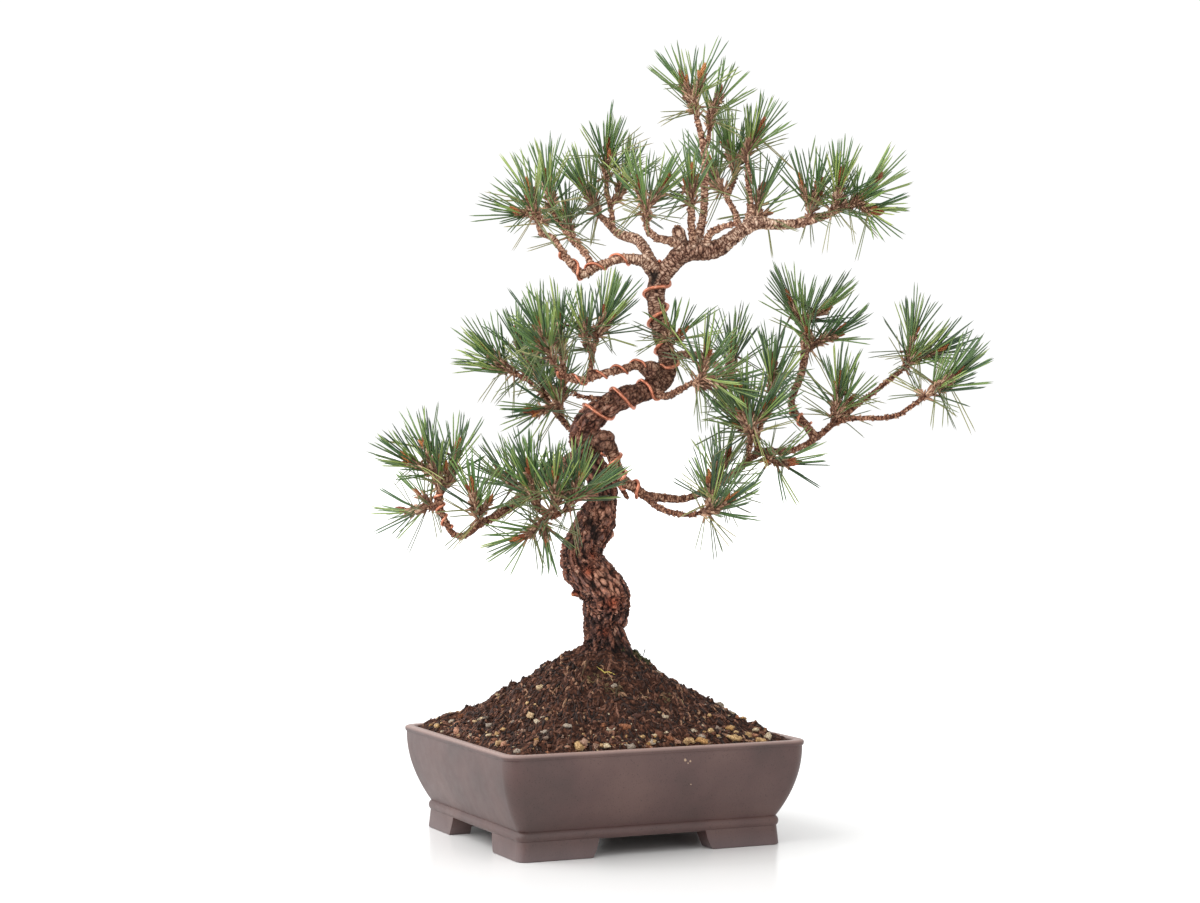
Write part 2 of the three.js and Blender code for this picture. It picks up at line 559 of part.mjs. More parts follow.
function makeSoil(trunkPath) {
  const cornerPoints = 4;
  const sidePoints = 3;
  const sideRows = POT_INSIDE.filter(([height]) => height < MOUND.edge);
  const edge = potOutline(POT_INSIDE.at(-2)[1] + 2 * SOIL_GAP, cornerPoints, sidePoints);
  const ring = (share) => edge.map((point) => {
    const round = point.clone().setLength(share * MOUND.radius);
    return round.lerp(point.clone().multiplyScalar(share), share ** MOUND.squaring);
  });
  const random = seededRandom(MOUND.seed);
  const crumb = () => MOUND.crumb * (2 * random() - 1);
  const crumbs = edge.map(() => Array.from({ length: MOUND.rings + 1 }, crumb));
  const body = formed(edge.length, sideRows.length + MOUND.rings, (row, column) => {
    if (row < sideRows.length) {
      const [height, inset] = sideRows[row];
      const wall = potOutline(inset + SOIL_GAP, cornerPoints, sidePoints);
      const point = column === null ? { x: 0, y: 0 } : wall[column];
      return new THREE.Vector3(point.x, point.y, row === 0 ? height + GAP : height);
    }
    const order = row - sideRows.length;
    const share = THREE.MathUtils.lerp(1, MOUND.cut, order / MOUND.rings);
    const point = column === null ? { x: 0, y: 0 } : ring(share)[column];
    const rough = order === 0 || column === null ? 0 : crumbs[column][order];
    return new THREE.Vector3(point.x, point.y, moundHeight(share) + rough);
  });
  const draw = seededRandom(PEBBLES.seed);
  const pebbles = Array.from({ length: PEBBLES.count }, () => {
    const share = THREE.MathUtils.lerp(PEBBLES.innermost, PEBBLES.outermost, Math.sqrt(draw()));
    const column = Math.floor(draw() * edge.length);
    const around = ring(share);
    const place = around[column].lerp(around[(column + 1) % edge.length], draw());
    const radius = THREE.MathUtils.lerp(PEBBLES.smallest, PEBBLES.largest, draw());
    const pebble = new THREE.IcosahedronGeometry(radius, 0);
    pebble.rotateX(draw() * Math.PI).rotateZ(draw() * Math.PI).scale(1, 1, PEBBLES.flatness);
    pebble.translate(place.x, place.y, moundHeight(share) + radius * PEBBLES.sunk);
    return toSolid(ready(pebble));
  });
  const { sides, step } = TRUNK;
  const last = trunkPath.shareAt(TRUNK.footKnot);
  const hole = toSolid(tube({ path: trunkPath, sides, step, last, spare: SOIL_GAP }));
  const pockets = [-1, 1].map((side) => {
    const size = SCREEN.size + 4 * GAP;
    const floor = POT_INSIDE[0][0];
    return block(size, size, floor - 1, floor + SCREEN.thickness + 3 * GAP, (side * DRAIN.spacing) / 2);
  });
  return [hole, ...pockets].reduce((soil, cut) => soil.subtract(cut), joined([toSolid(body), ...pebbles]));
}

// A spray's first path goes from the wood through the core's beginning to the first tip. The twig
// takes it up to that beginning, and the core goes on from there. Further cores fork from it.
function makeShoot({ from, base, tips }) {
  const path = new Path([from, base, tips[0]].map(seen), [TWIG.radius, CORE.radius, CORE.tipRadius]);
  const gap = GAP / path.curve.getLength();
  const split = path.shareAt(1);
  const core = { path, first: split + gap / 2 };
  const fork = path.curve.getPointAt(THREE.MathUtils.lerp(split, 1, CORE.forkShare));
  const forks = tips.slice(1).map((tip) => ({
    path: new Path([fork, seen(tip)], [CORE.tipRadius, CORE.tipRadius]),
    first: 0,
  }));
  return { path, twigEnd: split - gap / 2, cores: [core, ...forks] };
}

// A needle: where it grows from a core, and its direction, both drawn at random round an even
// spread. Needles near the core's beginning stand out, and those near its tip point along it.
function drawNeedle({ path, first }, order, count, random) {
  const share = THREE.MathUtils.lerp(NEEDLE.firstRoot, NEEDLE.lastRoot, (order + random()) / count);
  const place = THREE.MathUtils.lerp(first, 1, share);
  const [section] = path.sections([place]);
  const forward = path.curve.getTangentAt(place);
  const turn = order * GOLDEN_ANGLE + (random() - 0.5);
  const angle = THREE.MathUtils.lerp(NEEDLE.baseAngle, NEEDLE.tipAngle, share);
  const tilt = THREE.MathUtils.degToRad(angle + NEEDLE.angleJitter * (2 * random() - 1));
  const outward = around(section, turn, 1).sub(section.centre);
  const direction = forward.multiplyScalar(Math.cos(tilt)).addScaledVector(outward, Math.sin(tilt));
  direction.z += NEEDLE.lift;
  const length = NEEDLE.length * THREE.MathUtils.lerp(NEEDLE.shortest, 1, random());
  const start = section.centre;
  return { start, end: start.clone().addScaledVector(direction.normalize(), length) };
}

function spike({ start, end }) {
  const length = start.distanceTo(end);
  const up = new THREE.Vector3(0, 1, 0);
  const geometry = new THREE.ConeGeometry(NEEDLE.radius, length, 3).translate(0, length / 2, 0);
  const turn = new THREE.Quaternion().setFromUnitVectors(up, end.clone().sub(start).normalize());
  return toSolid(ready(geometry.applyQuaternion(turn).translate(start.x, start.y, start.z)));
}

// Each spray in turn gets a needle, until each has its number. A needle that would come too near
// something else is drawn again.
function growNeedles(shoots, obstacles) {
  const random = seededRandom(NEEDLE.seed);
  const grown = Object.fromEntries(Object.keys(shoots).map((name) => [name, []]));
  const most = Math.max(...Object.values(SPRAYS).map(({ needles }) => needles));
  for (let round = 0; round < most; round += 1) {
    for (const [name, { needles }] of Object.entries(SPRAYS)) {
      if (round >= needles) {
        continue;
      }
      const { cores } = shoots[name];
      const core = cores[round % cores.length];
      const share = Math.ceil(needles / cores.length);
      const order = (Math.floor(round / cores.length) * 5) % share;
      for (let attempt = 0; attempt < NEEDLE.tries; attempt += 1) {
        const needle = drawNeedle(core, order, share, random);
        const skin = needle.start.clone().lerp(needle.end, 0.06);
        const reach = needle.start.distanceTo(needle.end);
        const blocked = obstacles.some((other) => {
          if (other.owner === name || other.start.distanceTo(skin) > reach + other.radius + 60) {
            return false;
          }
          const room = other.radius + NEEDLE.radius + NEEDLE.clearance;
          return nearest(skin, needle.end, other.start, other.end).distance < room;
        });
        if (!blocked) {
          grown[name].push(needle);
          obstacles.push({ ...needle, radius: NEEDLE.radius, owner: name });
          break;
        }
      }
    }
  }
  return grown;
}

// A wire wound round a limb. It lies on the bark, a little inside its highest points, and is bent
// clear of whatever else grows there.
function makeWire({ limb, from, to, turns, start, radius }, paths, wood) {
  const path = paths[limb];
  const count = Math.round(turns * WIRE.stepsPerTurn);
  const sections = path.sections(evenly(path.shareAt(from), path.shareAt(to), count));
  const points = sections.map((section, i) => {
    return around(section, 2 * Math.PI * (start + i / WIRE.stepsPerTurn), section.radius + radius + GAP);
  });
  for (let push = 0; push < WIRE.pushes; push += 1) {
    for (let i = 1; i < points.length; i += 1) {
      for (const other of wood) {
        const { onFirst, onSecond, distance } = nearest(points[i - 1], points[i], other.start, other.end);
        const room = other.radius * WIRE.seat + radius + GAP;
        if (distance < room) {
          const shift = onFirst.sub(onSecond).normalize().multiplyScalar(room - distance);
          points[i - 1].add(shift);
          points[i].add(shift);
        }
      }
    }
  }
  return new Path(points, points.map(() => radius));
}

const paths = Object.fromEntries(Object.entries(LIMBS).map(([name, points]) => [name, limbPath(points)]));
const shoots = Object.fromEntries(Object.entries(SPRAYS).map(([name, spray]) => [name, makeShoot(spray)]));

// The trunk is in three stretches. Its foot is smooth, to fit its hole, and its top has fewer sides.
const trunkFoot = paths.trunk.shareAt(TRUNK.footKnot);
const trunkSplit = paths.trunk.shareAt(TRUNK.splitKnot);
const limbs = [
  { path: paths.trunk, sides: TRUNK.sides, step: TRUNK.step, last: trunkFoot },
  { path: paths.trunk, ...TRUNK, first: trunkFoot - TRUNK.lap, last: trunkSplit, seed: 3 },
  { path: paths.trunk, ...TRUNK.top, first: trunkSplit - TRUNK.lap, seed: 4 },
  ...Object.keys(paths)
    .filter((name) => name !== "trunk")
    .map((name, i) => ({
      path: paths[name],
      ...BRANCH,
      sides: paths[name].radii[0] > BRANCH.thinRadius ? BRANCH.sides : BRANCH.thinSides,
      seed: 10 + i,
    })),
];
const twigs = Object.values(shoots).map(({ path, twigEnd }) => ({ path, ...TWIG, last: twigEnd }));
const woodSolids = [...limbs, ...twigs].map((part) => toSolid(tube(part)));
const allWood = [...limbs, ...twigs].flatMap((part) => capsules(part, "wood"));
const wires = Object.fromEntries(
  Object.entries(WIRES).map(([name, wire]) => [name, makeWire(wire, paths, allWood)]),
);
const needles = growNeedles(shoots, [
  ...allWood,
  ...Object.entries(wires).flatMap(([name, path]) => capsules({ path, step: 12 }, name)),
  ...Object.entries(shoots).flatMap(([name, { cores }]) =>
    cores.flatMap((core) => capsules({ ...core, ...CORE }, name)),
  ),
]);

const tree = new THREE.Group();

function addPiece(name, geometry, material) {
  geometry.computeVertexNormals();
  const mesh = new THREE.Mesh(geometry, material);
  mesh.name = name;
  tree.add(mesh);
}

addPiece("pot", toGeometry(makePot()), MATERIALS.clay);
addPiece("screen_left", toGeometry(makeScreen(-1)), MATERIALS.plastic);
addPiece("screen_right", toGeometry(makeScreen(1)), MATERIALS.plastic);
addPiece("soil", toGeometry(makeSoil(paths.trunk)), MATERIALS.soil);
addPiece("wood", toGeometry(joined(woodSolids)), MATERIALS.bark);
for (const [name, path] of Object.entries(wires)) {
  const shares = path.radii.map((_, i) => path.shareAt(i));
  addPiece(name, tube({ path, sides: WIRE.sides, shares }), MATERIALS.wire);
}
for (const [name, { cores }] of Object.entries(shoots)) {
  const solids = [
    ...cores.map((core) => toSolid(tube({ ...core, ...CORE }))),
    ...needles[name].map(spike),
  ];
  addPiece(`spray_${name}`, toGeometry(joined(solids)), MATERIALS.needle);
}

tree.position.set(-PLAN_MIDDLE.x, -PLAN_MIDDLE.y, 0);

export default tree;
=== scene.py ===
# A Japanese black pine bonsai in an unglazed pot: its looks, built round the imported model.
#
# Everything is in metres. The lists of the tree's points are in millimetres, as the tree was
# measured, and MM turns them into metres. The sections follow the real thing from the pot up.

import math
import random

import bmesh
import bpy
import numpy as np
from mathutils import Matrix, Vector, noise
from mathutils.bvhtree import BVHTree


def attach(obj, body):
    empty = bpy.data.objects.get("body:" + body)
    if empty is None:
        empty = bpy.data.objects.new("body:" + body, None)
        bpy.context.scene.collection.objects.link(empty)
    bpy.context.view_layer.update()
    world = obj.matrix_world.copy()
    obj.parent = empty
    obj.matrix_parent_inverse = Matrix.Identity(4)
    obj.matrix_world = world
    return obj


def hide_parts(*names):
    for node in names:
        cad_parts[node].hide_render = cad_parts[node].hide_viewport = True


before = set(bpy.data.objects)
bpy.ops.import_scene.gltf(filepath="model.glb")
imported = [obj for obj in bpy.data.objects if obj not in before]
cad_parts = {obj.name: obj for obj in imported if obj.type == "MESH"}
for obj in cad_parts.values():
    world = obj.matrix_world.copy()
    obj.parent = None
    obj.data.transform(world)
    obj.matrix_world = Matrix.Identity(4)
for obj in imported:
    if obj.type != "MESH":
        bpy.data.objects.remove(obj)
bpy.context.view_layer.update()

MM = 0.001


# The view. The camera stands 2.3 m from the pot's middle, a little to the left of its long front,
# with its eye level with the middle of the tree. A long lens keeps the pot's edges nearly straight.
POT_MIDDLE = Vector((-46, 33, 0)) * MM
VIEWER = {"distance": 2285 * MM, "eye": 361 * MM, "turn": math.radians(24.1), "tilt": math.radians(-0.59)}
ACROSS = Vector((math.cos(VIEWER["turn"]), -math.sin(VIEWER["turn"]), 0))
AWAY = Vector((math.sin(VIEWER["turn"]), math.cos(VIEWER["turn"]), 0))

camera_data = bpy.data.cameras.new("camera")
camera_data.lens = 78
camera_data.sensor_width = 36
camera = bpy.data.objects.new("camera", camera_data)
camera.location = POT_MIDDLE - AWAY * VIEWER["distance"] + Vector((0, 0, VIEWER["eye"]))
camera.rotation_euler = (math.radians(90) + VIEWER["tilt"], 0, -VIEWER["turn"])
bpy.context.scene.collection.objects.link(camera)
bpy.context.scene.camera = camera
bpy.context.scene.view_settings.view_transform = "Standard"


def seen(point):
    """The place of a point given in mm across and up in the upright plane through the trunk that
    faces the viewer, and how far it lies away beyond that plane."""
    across, up, away = (value * MM for value in point[:3])
    spread = 1 + away / VIEWER["distance"]
    height = VIEWER["eye"] + (up - VIEWER["eye"]) * spread
    return POT_MIDDLE + ACROSS * across * spread + AWAY * away + Vector((0, 0, height))


# The light. A large soft box stands high on the left, a weak one on the right, and the white room is
# brightest towards the same upper left. The camera sees the room as even white.
SOFT_BOXES = {
    "key_light": {"from": (-2000, 1500, -600), "size": 2600 * MM, "power": 40},
    "fill_light": {"from": (1700, 900, -1300), "size": 1500 * MM, "power": 6},
}
ROOM = {"white": 1.03, "dimmest": 0.26, "brightest": 1.42, "bright_side": (-0.7, 0.8, 0.1)}
TREE_MIDDLE = seen((0, 330, 0))


def colour(hex_code):
    """The linear colour of an sRGB hex code."""
    parts = [int(hex_code[i:i + 2], 16) / 255 for i in (1, 3, 5)]
    linear = [part / 12.92 if part <= 0.04045 else ((part + 0.055) / 1.055) ** 2.4 for part in parts]
    return (*linear, 1)


def feed(node, inputs):
    """Sets a node's inputs. Each is a value, a hex code, a socket, or a node whose main output
    feeds it."""
    for name, source in inputs.items():
        if isinstance(source, bpy.types.Node):
            source = next(socket for socket in source.outputs if socket.enabled)
        if isinstance(source, bpy.types.NodeSocket):
            node.id_data.links.new(source, node.inputs[name])
        else:
            node.inputs[name].default_value = colour(source) if isinstance(source, str) else source


def add_node(material, kind, inputs=None, stops=None, **settings):
    """Adds a node with its settings and inputs. The stops of a colour ramp are positions with their
    hex codes, lowest first."""
    node = material.node_tree.nodes.new("ShaderNode" + kind)
    for name, value in settings.items():
        setattr(node, name, value)
    feed(node, inputs or {})
    if stops:
        elements = node.color_ramp.elements
        elements[0].position, elements[-1].position = stops[0][0], stops[-1][0]
        for position, _ in stops[1:-1]:
            elements.new(position)
        for element, (_, tint) in zip(elements, stops):
            element.color = colour(tint)
    return node


for name, box in SOFT_BOXES.items():
    light_data = bpy.data.lights.new(name, "AREA")
    light_data.size = box["size"]
    light_data.energy = box["power"]
    light = bpy.data.objects.new(name, light_data)
    light.location = seen(box["from"])
    light.rotation_euler = (TREE_MIDDLE - light.location).to_track_quat("-Z", "Y").to_euler()
    light.visible_camera = False
    bpy.context.scene.collection.objects.link(light)

world = bpy.data.worlds.new("white_room")
world.use_nodes = True
across, up, away = ROOM["bright_side"]
bright_side = (ACROSS * across + AWAY * away + Vector((0, 0, up))).normalized()
way = add_node(world, "TexCoord").outputs["Generated"]
towards = add_node(world, "VectorMath", {0: way, 1: bright_side}, operation="DOT_PRODUCT")
shade = add_node(
    world, "MapRange",
    {"Value": towards, "From Min": -1.0, "To Min": ROOM["dimmest"], "To Max": ROOM["brightest"]},
)
camera_ray = add_node(world, "LightPath").outputs["Is Camera Ray"]
strength = add_node(world, "Mix", {"Factor": camera_ray, "A": shade, "B": ROOM["white"]})
feed(world.node_tree.nodes["Background"], {"Strength": strength, "Color": "#ffffff"})
bpy.context.scene.world = world


# The floor is a plain pale sheet. It takes soft shadows and a faint reflection near the pot. Further off
# its colour fades to black and it glows white, a painted glow that melts into the white of the room.
FLOOR = {"size": 60, "glow_from": 0.15, "glow_to": 0.43, "glow": 1.03}


def new_material(name):
    """A material, and its surface shader."""
    material = bpy.data.materials.new(name)
    material.use_nodes = True
    return material, material.node_tree.nodes["Principled BSDF"]


def new_piece(name, mesh, *materials):
    """A shown object at the origin, with its place in its mesh."""
    piece = bpy.data.objects.new(name, mesh)
    bpy.context.scene.collection.objects.link(piece)
    for material in materials:
        mesh.materials.append(material)
    return piece


def to_mesh(bm, name):
    mesh = bpy.data.meshes.new(name)
    bm.to_mesh(mesh)
    bm.free()
    mesh.shade_smooth()
    return mesh


# Pale satin lacquer on a board, with only a blurred reflection. Away from the pot it glows: painted light.
floor_paint, shader = new_material("pale_board_with_painted_glow")
place = add_node(floor_paint, "TexCoord").outputs["Object"]
apart = add_node(floor_paint, "VectorMath", {0: place}, operation="LENGTH")
spread = {"Value": apart, "From Min": FLOOR["glow_from"], "From Max": FLOOR["glow_to"]}
paint = add_node(
    floor_paint, "ValToRGB", {"Fac": add_node(floor_paint, "MapRange", spread)},
    stops=[(0, "#f3f3f2"), (1, "#000000")],
)
# The floor's glow is painted light: it lightens the shadows further off and matches the room's white.
glow = add_node(floor_paint, "MapRange", spread | {"To Max": FLOOR["glow"]})
feed(shader, {
    "Base Color": paint, "Emission Strength": glow, "Emission Color": "#ffffff", "Roughness": 0.22,
    "Specular IOR Level": 0.3,
})

bm = bmesh.new()
bmesh.ops.create_grid(bm, x_segments=1, y_segments=1, size=FLOOR["size"] / 2)
floor = new_piece("floor", to_mesh(bm, "floor"), floor_paint)


# The pot is a shallow tray of unglazed stoneware on four bracket feet, pressed in a mould and
# rubbed smooth before firing. Its walls stand upright at the lip and bow in towards the foot, where
# a half-round bead runs above the feet. It is drawn as one outline that is raised ring by ring.
POT = {"length": 280 * MM, "width": 257 * MM, "corner": 15 * MM, "sharpening": 0.35, "corner_points": 9}
# How far the outside stands in from the rim, by height, in mm: the bead, the cove over it, and the
# wall's bow, which starts at the lip.
BEAD = {"bottom": 16, "top": 24.6, "inset": 19.8, "bulge": 1.9, "fullness": 0.7, "steps": 8}
WALL = {"top": 86, "inset": 1.2, "bow": 18.6, "power": 2.05, "steps": 22}
LIP = {"top": 91, "overhang": 0.9, "round": 2.3, "thickness": 8.2, "steps": 5}
UNDERSIDE = [(15.5, 21)]
INSIDE = [(86, 9.6), (75, 11.6), (64, 13.4), (46, 18), (33, 25), (25, 32)]
FOOT = {
    "top": 16.6, "inset": 17.8, "lean": 1.6, "thickness": 20, "slant": 6, "rounding": 0.9,
    "gaps": (99, 92), "levels": (0, 0.05, 0.35, 0.65, 0.95, 1),
}
DRAIN = {"radius": 11 * MM, "apart": 120 * MM, "depth": 40 * MM, "sides": 40}


def outline(length, width, radius, corner_points):
    """The outline of a rectangle with round corners, counter-clockwise."""
    points = []
    for order, (side_x, side_y) in enumerate([(1, 1), (-1, 1), (-1, -1), (1, -1)]):
        middle = Vector((side_x * (length / 2 - radius), side_y * (width / 2 - radius), 0))
        for i in range(corner_points):
            turn = math.pi / 2 * (order + i / (corner_points - 1))
            points.append(middle + radius * Vector((math.cos(turn), math.sin(turn), 0)))
    return points


def pot_outline(inset, corner_points=POT["corner_points"]):
    radius = POT["corner"] - POT["sharpening"] * inset
    return outline(POT["length"] - 2 * inset, POT["width"] - 2 * inset, radius, corner_points)


def at_height(points, height):
    return [POT_MIDDLE + point + Vector((0, 0, height)) for point in points]


def loft(bm, rings):
    """A closed body through rings of places: a capped circle, extruded from ring to ring."""
    column = bm.verts.layers.int.get("column") or bm.verts.layers.int.new("column")
    verts = bmesh.ops.create_circle(bm, cap_ends=True, segments=len(rings[0]), radius=1)["verts"]
    for i, vert in enumerate(verts):
        vert[column] = i
        vert.co = rings[0][i]
    edges = list(dict.fromkeys(edge for vert in verts for edge in vert.link_edges))
    for ring in rings[1:]:
        grown = bmesh.ops.extrude_edge_only(bm, edges=edges)["geom"]
        edges = [item for item in grown if isinstance(item, bmesh.types.BMEdge) and item.is_boundary]
        for item in grown:
            if isinstance(item, bmesh.types.BMVert):
                item.co = ring[item[column]]
    bmesh.ops.contextual_create(bm, geom=edges)


def modified(piece, kind, **settings):
    """The piece's mesh with one modifier applied. The piece itself is removed."""
    modifier = piece.modifiers.new(kind, kind)
    for name, value in settings.items():
        setattr(modifier, name, value)
    return settled(piece)


def settled(piece):
    """The mesh that the piece shows, with its modifiers applied. The piece itself is removed."""
    graph = bpy.context.evaluated_depsgraph_get()
    mesh = bpy.data.meshes.new_from_object(piece.evaluated_get(graph))
    bpy.data.objects.remove(piece)
    return mesh


def smoothly(share):
    share = min(max(share, 0), 1)
    return share * share * (3 - 2 * share)


def pot_profile():
    """Heights and insets in mm, up the outside, over the lip and down the inside."""
    points = list(UNDERSIDE)
    for i in range(BEAD["steps"] + 1):
        share = i / BEAD["steps"]
        bulge = BEAD["bulge"] * math.sin(math.pi * share) ** BEAD["fullness"]
        points.append((BEAD["bottom"] + (BEAD["top"] - BEAD["bottom"]) * share, BEAD["inset"] - bulge))
    for i in range(1, WALL["steps"] + 1):
        height = BEAD["top"] + (WALL["top"] - BEAD["top"]) * i / WALL["steps"]
        share = (WALL["top"] - height) / (WALL["top"] - BEAD["top"])
        points.append((height, WALL["inset"] + WALL["bow"] * share ** WALL["power"]))
    points.append((WALL["top"] + LIP["overhang"], WALL["inset"] - LIP["overhang"]))
    for inner in (False, True):
        for i in range(LIP["steps"] + 1):
            turn = math.pi / 2 * i / LIP["steps"]
            side, rise = LIP["round"] * (1 - math.cos(turn)), LIP["round"] * (1 - math.sin(turn))
            if inner:
                side, rise = LIP["thickness"] - rise, side
            points.append((LIP["top"] - rise, side))
    return points + INSIDE


bm = bmesh.new()
loft(bm, [at_height(pot_outline(inset * MM), height * MM) for height, inset in pot_profile()])
bmesh.ops.recalc_face_normals(bm, faces=bm.faces)
bowl = new_piece("bowl", to_mesh(bm, "bowl"))

# The feet are brackets that turn the corners. Their outer faces lean out and their ends slant in
# towards the table.
bm = bmesh.new()
for side_x, side_y in ((1, 1), (-1, 1), (-1, -1), (1, -1)):
    rings = []
    for share in FOOT["levels"]:
        rounding = 0 if share else FOOT["rounding"]
        inset = FOOT["inset"] + FOOT["lean"] * share + rounding
        inner = FOOT["inset"] + FOOT["thickness"]
        end_x, end_y = (gap / 2 + FOOT["slant"] * (1 - share) ** 1.5 + rounding for gap in FOOT["gaps"])
        half_x, half_y = POT["length"] / MM / 2, POT["width"] / MM / 2
        arc = pot_outline(inset * MM)[:POT["corner_points"]]
        plan = [
            *((point.x / MM, point.y / MM) for point in arc),
            (end_x, half_y - inset), (end_x, half_y - inner), (half_x - inner, half_y - inner),
            (half_x - inner, end_y), (half_x - inset, end_y),
        ]
        corners = [Vector((side_x * x, side_y * y, 0)) * MM for x, y in plan]
        rings.append(at_height(corners, FOOT["top"] * MM * share))
    loft(bm, rings)
bmesh.ops.recalc_face_normals(bm, faces=bm.faces)
feet = new_piece("feet", to_mesh(bm, "feet"))

bm = bmesh.new()
for side in (-1, 1):
    place = POT_MIDDLE + Vector((side * DRAIN["apart"], 0, DRAIN["depth"])) / 2
    bmesh.ops.create_cone(
        bm, cap_ends=True, segments=DRAIN["sides"], radius1=DRAIN["radius"], radius2=DRAIN["radius"],
        depth=DRAIN["depth"], matrix=Matrix.Translation(place),
    )
drains = new_piece("drains", to_mesh(bm, "drains"))

bowl = new_piece("bowl", modified(bowl, "BOOLEAN", operation="UNION", object=feet, solver="EXACT"))
pot_mesh = modified(bowl, "BOOLEAN", operation="DIFFERENCE", object=drains, solver="EXACT")
for cutter in (feet, drains):
    bpy.data.objects.remove(cutter)
pot_mesh.shade_smooth()
pot_mesh.set_sharp_from_angle(angle=math.radians(38))


def seen_on(skin, across, up):
    """The place on a skin that the viewer sees at mm across and up."""
    target = seen((across, up, 0))
    hit = skin.ray_cast(camera.location, (target - camera.location).normalized())[0]
    return hit or skin.find_nearest(target)[0]


def mixed(material, factor, first, second, blend="MIX"):
    """Two colours mixed. Each is a node or a hex code."""
    inputs = {"Factor": factor, 6: first, 7: second}
    return add_node(material, "Mix", inputs, data_type="RGBA", blend_type=blend)


# Stoneware, iron-bearing and fired without a glaze: a purple-brown skin with a low silky sheen from
# rubbing, faint clouds from the kiln, and grit that shows as fine specks. The rim is paler, partly rubbed
# and partly a painted highlight along its top, the feet are rubbed paler, and a few small chips on the
# front show the buff clay inside. Grit is about 0.5 mm, drawn at 1.2 mm so that it shows. The chips'
# places are mm across and up where they are seen.
CLAY = {
    "cloud": 55 * MM, "grit": 1.2 * MM, "streak": 9 * MM, "rim_wear_and_highlight_height": (88.4 * MM, 91 * MM),
    "foot_height": 14 * MM, "chip_edge": 0.35,
}
CHIPS = [((75, 66), 1.3), ((79.5, 65), 1.0), ((77.5, 63.2), 0.7), ((80, 44.5), 0.7)]

clay, shader = new_material("fired_stoneware")
place = add_node(clay, "TexCoord").outputs["Object"]
cloud = add_node(clay, "TexNoise", {"Vector": place, "Scale": 1 / CLAY["cloud"], "Detail": 4})
grit = add_node(clay, "TexNoise", {"Vector": place, "Scale": 1 / CLAY["grit"], "Detail": 2})
streak = add_node(clay, "TexNoise", {"Vector": place, "Scale": 1 / CLAY["streak"], "Detail": 5})
body = add_node(
    clay, "ValToRGB", {"Fac": cloud},
    stops=[(0.3, "#422f2c"), (0.5, "#4e3734"), (0.72, "#5a423d")],
)
specks = add_node(
    clay, "ValToRGB", {"Fac": grit},
    stops=[(0.28, "#8c8480"), (0.4, "#ffffff"), (0.66, "#ffffff"), (0.78, "#ffefe4")],
)
tint = mixed(clay, 0.55, body, specks, "MULTIPLY")
height = add_node(clay, "SeparateXYZ", {"Vector": place}).outputs["Z"]
# The rim's top is paler: partly wear from rubbing, partly a painted highlight along the lip.
low, high = CLAY["rim_wear_and_highlight_height"]
rubbed = add_node(clay, "MapRange", {"Value": height, "From Min": low, "From Max": high, "To Max": 0.6})
worn = mixed(clay, rubbed, tint, "#b59990")
foot_height = add_node(
    clay, "MapRange", {"Value": height, "From Min": CLAY["foot_height"], "From Max": 0.0, "To Max": 0.35},
)
surface = mixed(clay, foot_height, worn, "#6d6365")
pot_skin = BVHTree.FromPolygons(
    [vert.co for vert in pot_mesh.vertices], [face.vertices for face in pot_mesh.polygons],
)
ragged = add_node(clay, "MapRange", {"Value": grit, "To Min": 0.4 * MM, "To Max": -0.4 * MM})
for spot, radius in CHIPS:
    apart = add_node(clay, "VectorMath", {0: place, 1: seen_on(pot_skin, *spot)}, operation="DISTANCE")
    edge = add_node(clay, "Math", {0: apart, 1: ragged}, operation="ADD")
    chip = add_node(
        clay, "MapRange",
        {"Value": edge, "From Min": radius * MM, "From Max": (radius - CLAY["chip_edge"]) * MM},
    )
    surface = mixed(clay, chip, surface, "#a58b74")
sheen = add_node(clay, "MapRange", {"Value": streak, "To Min": 0.36, "To Max": 0.52})
grain = add_node(clay, "Bump", {"Height": grit, "Strength": 0.25, "Distance": 0.25 * MM})
feed(shader, {"Base Color": surface, "Roughness": sheen, "Normal": grain})

pot = new_piece("stoneware_pot", pot_mesh, clay)
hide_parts("pot")
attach(pot, "root")


# The drain screens are squares of black plastic mesh under the soil. They keep the part's own
# solids, with the finish of moulded polyethylene: nearly black, a little waxy and finely scuffed.
screen_plastic, shader = new_material("moulded_polyethylene")
place = add_node(screen_plastic, "TexCoord").outputs["Object"]
scuffs = add_node(screen_plastic, "TexNoise", {"Vector": place, "Scale": 1 / (2 * MM), "Detail": 3})
tint = add_node(screen_plastic, "ValToRGB", {"Fac": scuffs}, stops=[(0.35, "#1b1c1a"), (0.75, "#2c2d29")])
feed(shader, {"Base Color": tint, "Roughness": 0.45})

for name in ("screen_left", "screen_right"):
    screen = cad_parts[name]
    screen.data.materials.clear()
    screen.data.materials.append(screen_plastic)


# The soil fills the pot and is heaped in a loose cone up to the trunk's foot. It is one sunk body,
# raised ring by ring up the pot's inside and over the cone, with its crumbs as relief.
SOIL = {
    "edge": 88.5 * MM, "edge_inset": 9 * MM, "rise": 90 * MM, "radius": 135 * MM, "squaring": 3,
    "flat_top": 0.13, "last_share": 0.05, "columns": 460, "column_width": 2.1 * MM, "rings": 84,
    "wall_gap": 0.3 * MM, "fade": 0.06,
}
# Heights and insets up the pot's inside in mm, and the sizes and depths of the mound's lumps.
SOIL_WALL = [(25.3, 32), (33, 25), (46, 18), (64, 13.4), (84, 10)]
SOIL_RELIEF = [(38 * MM, 5 * MM), (13 * MM, 5 * MM), (5.2 * MM, 3.6 * MM)]


def spaced(points, count):
    """Places at even steps round a closed outline."""
    closed = np.array([*points, points[0]])
    lengths = np.concatenate([[0], np.cumsum(np.linalg.norm(np.diff(closed, axis=0), axis=1))])
    steps = np.arange(count) / count * lengths[-1]
    return [Vector(place) for place in np.stack([np.interp(steps, lengths, axis) for axis in closed.T], 1)]


SOIL_EDGE = spaced(pot_outline(SOIL["edge_inset"]), SOIL["columns"])


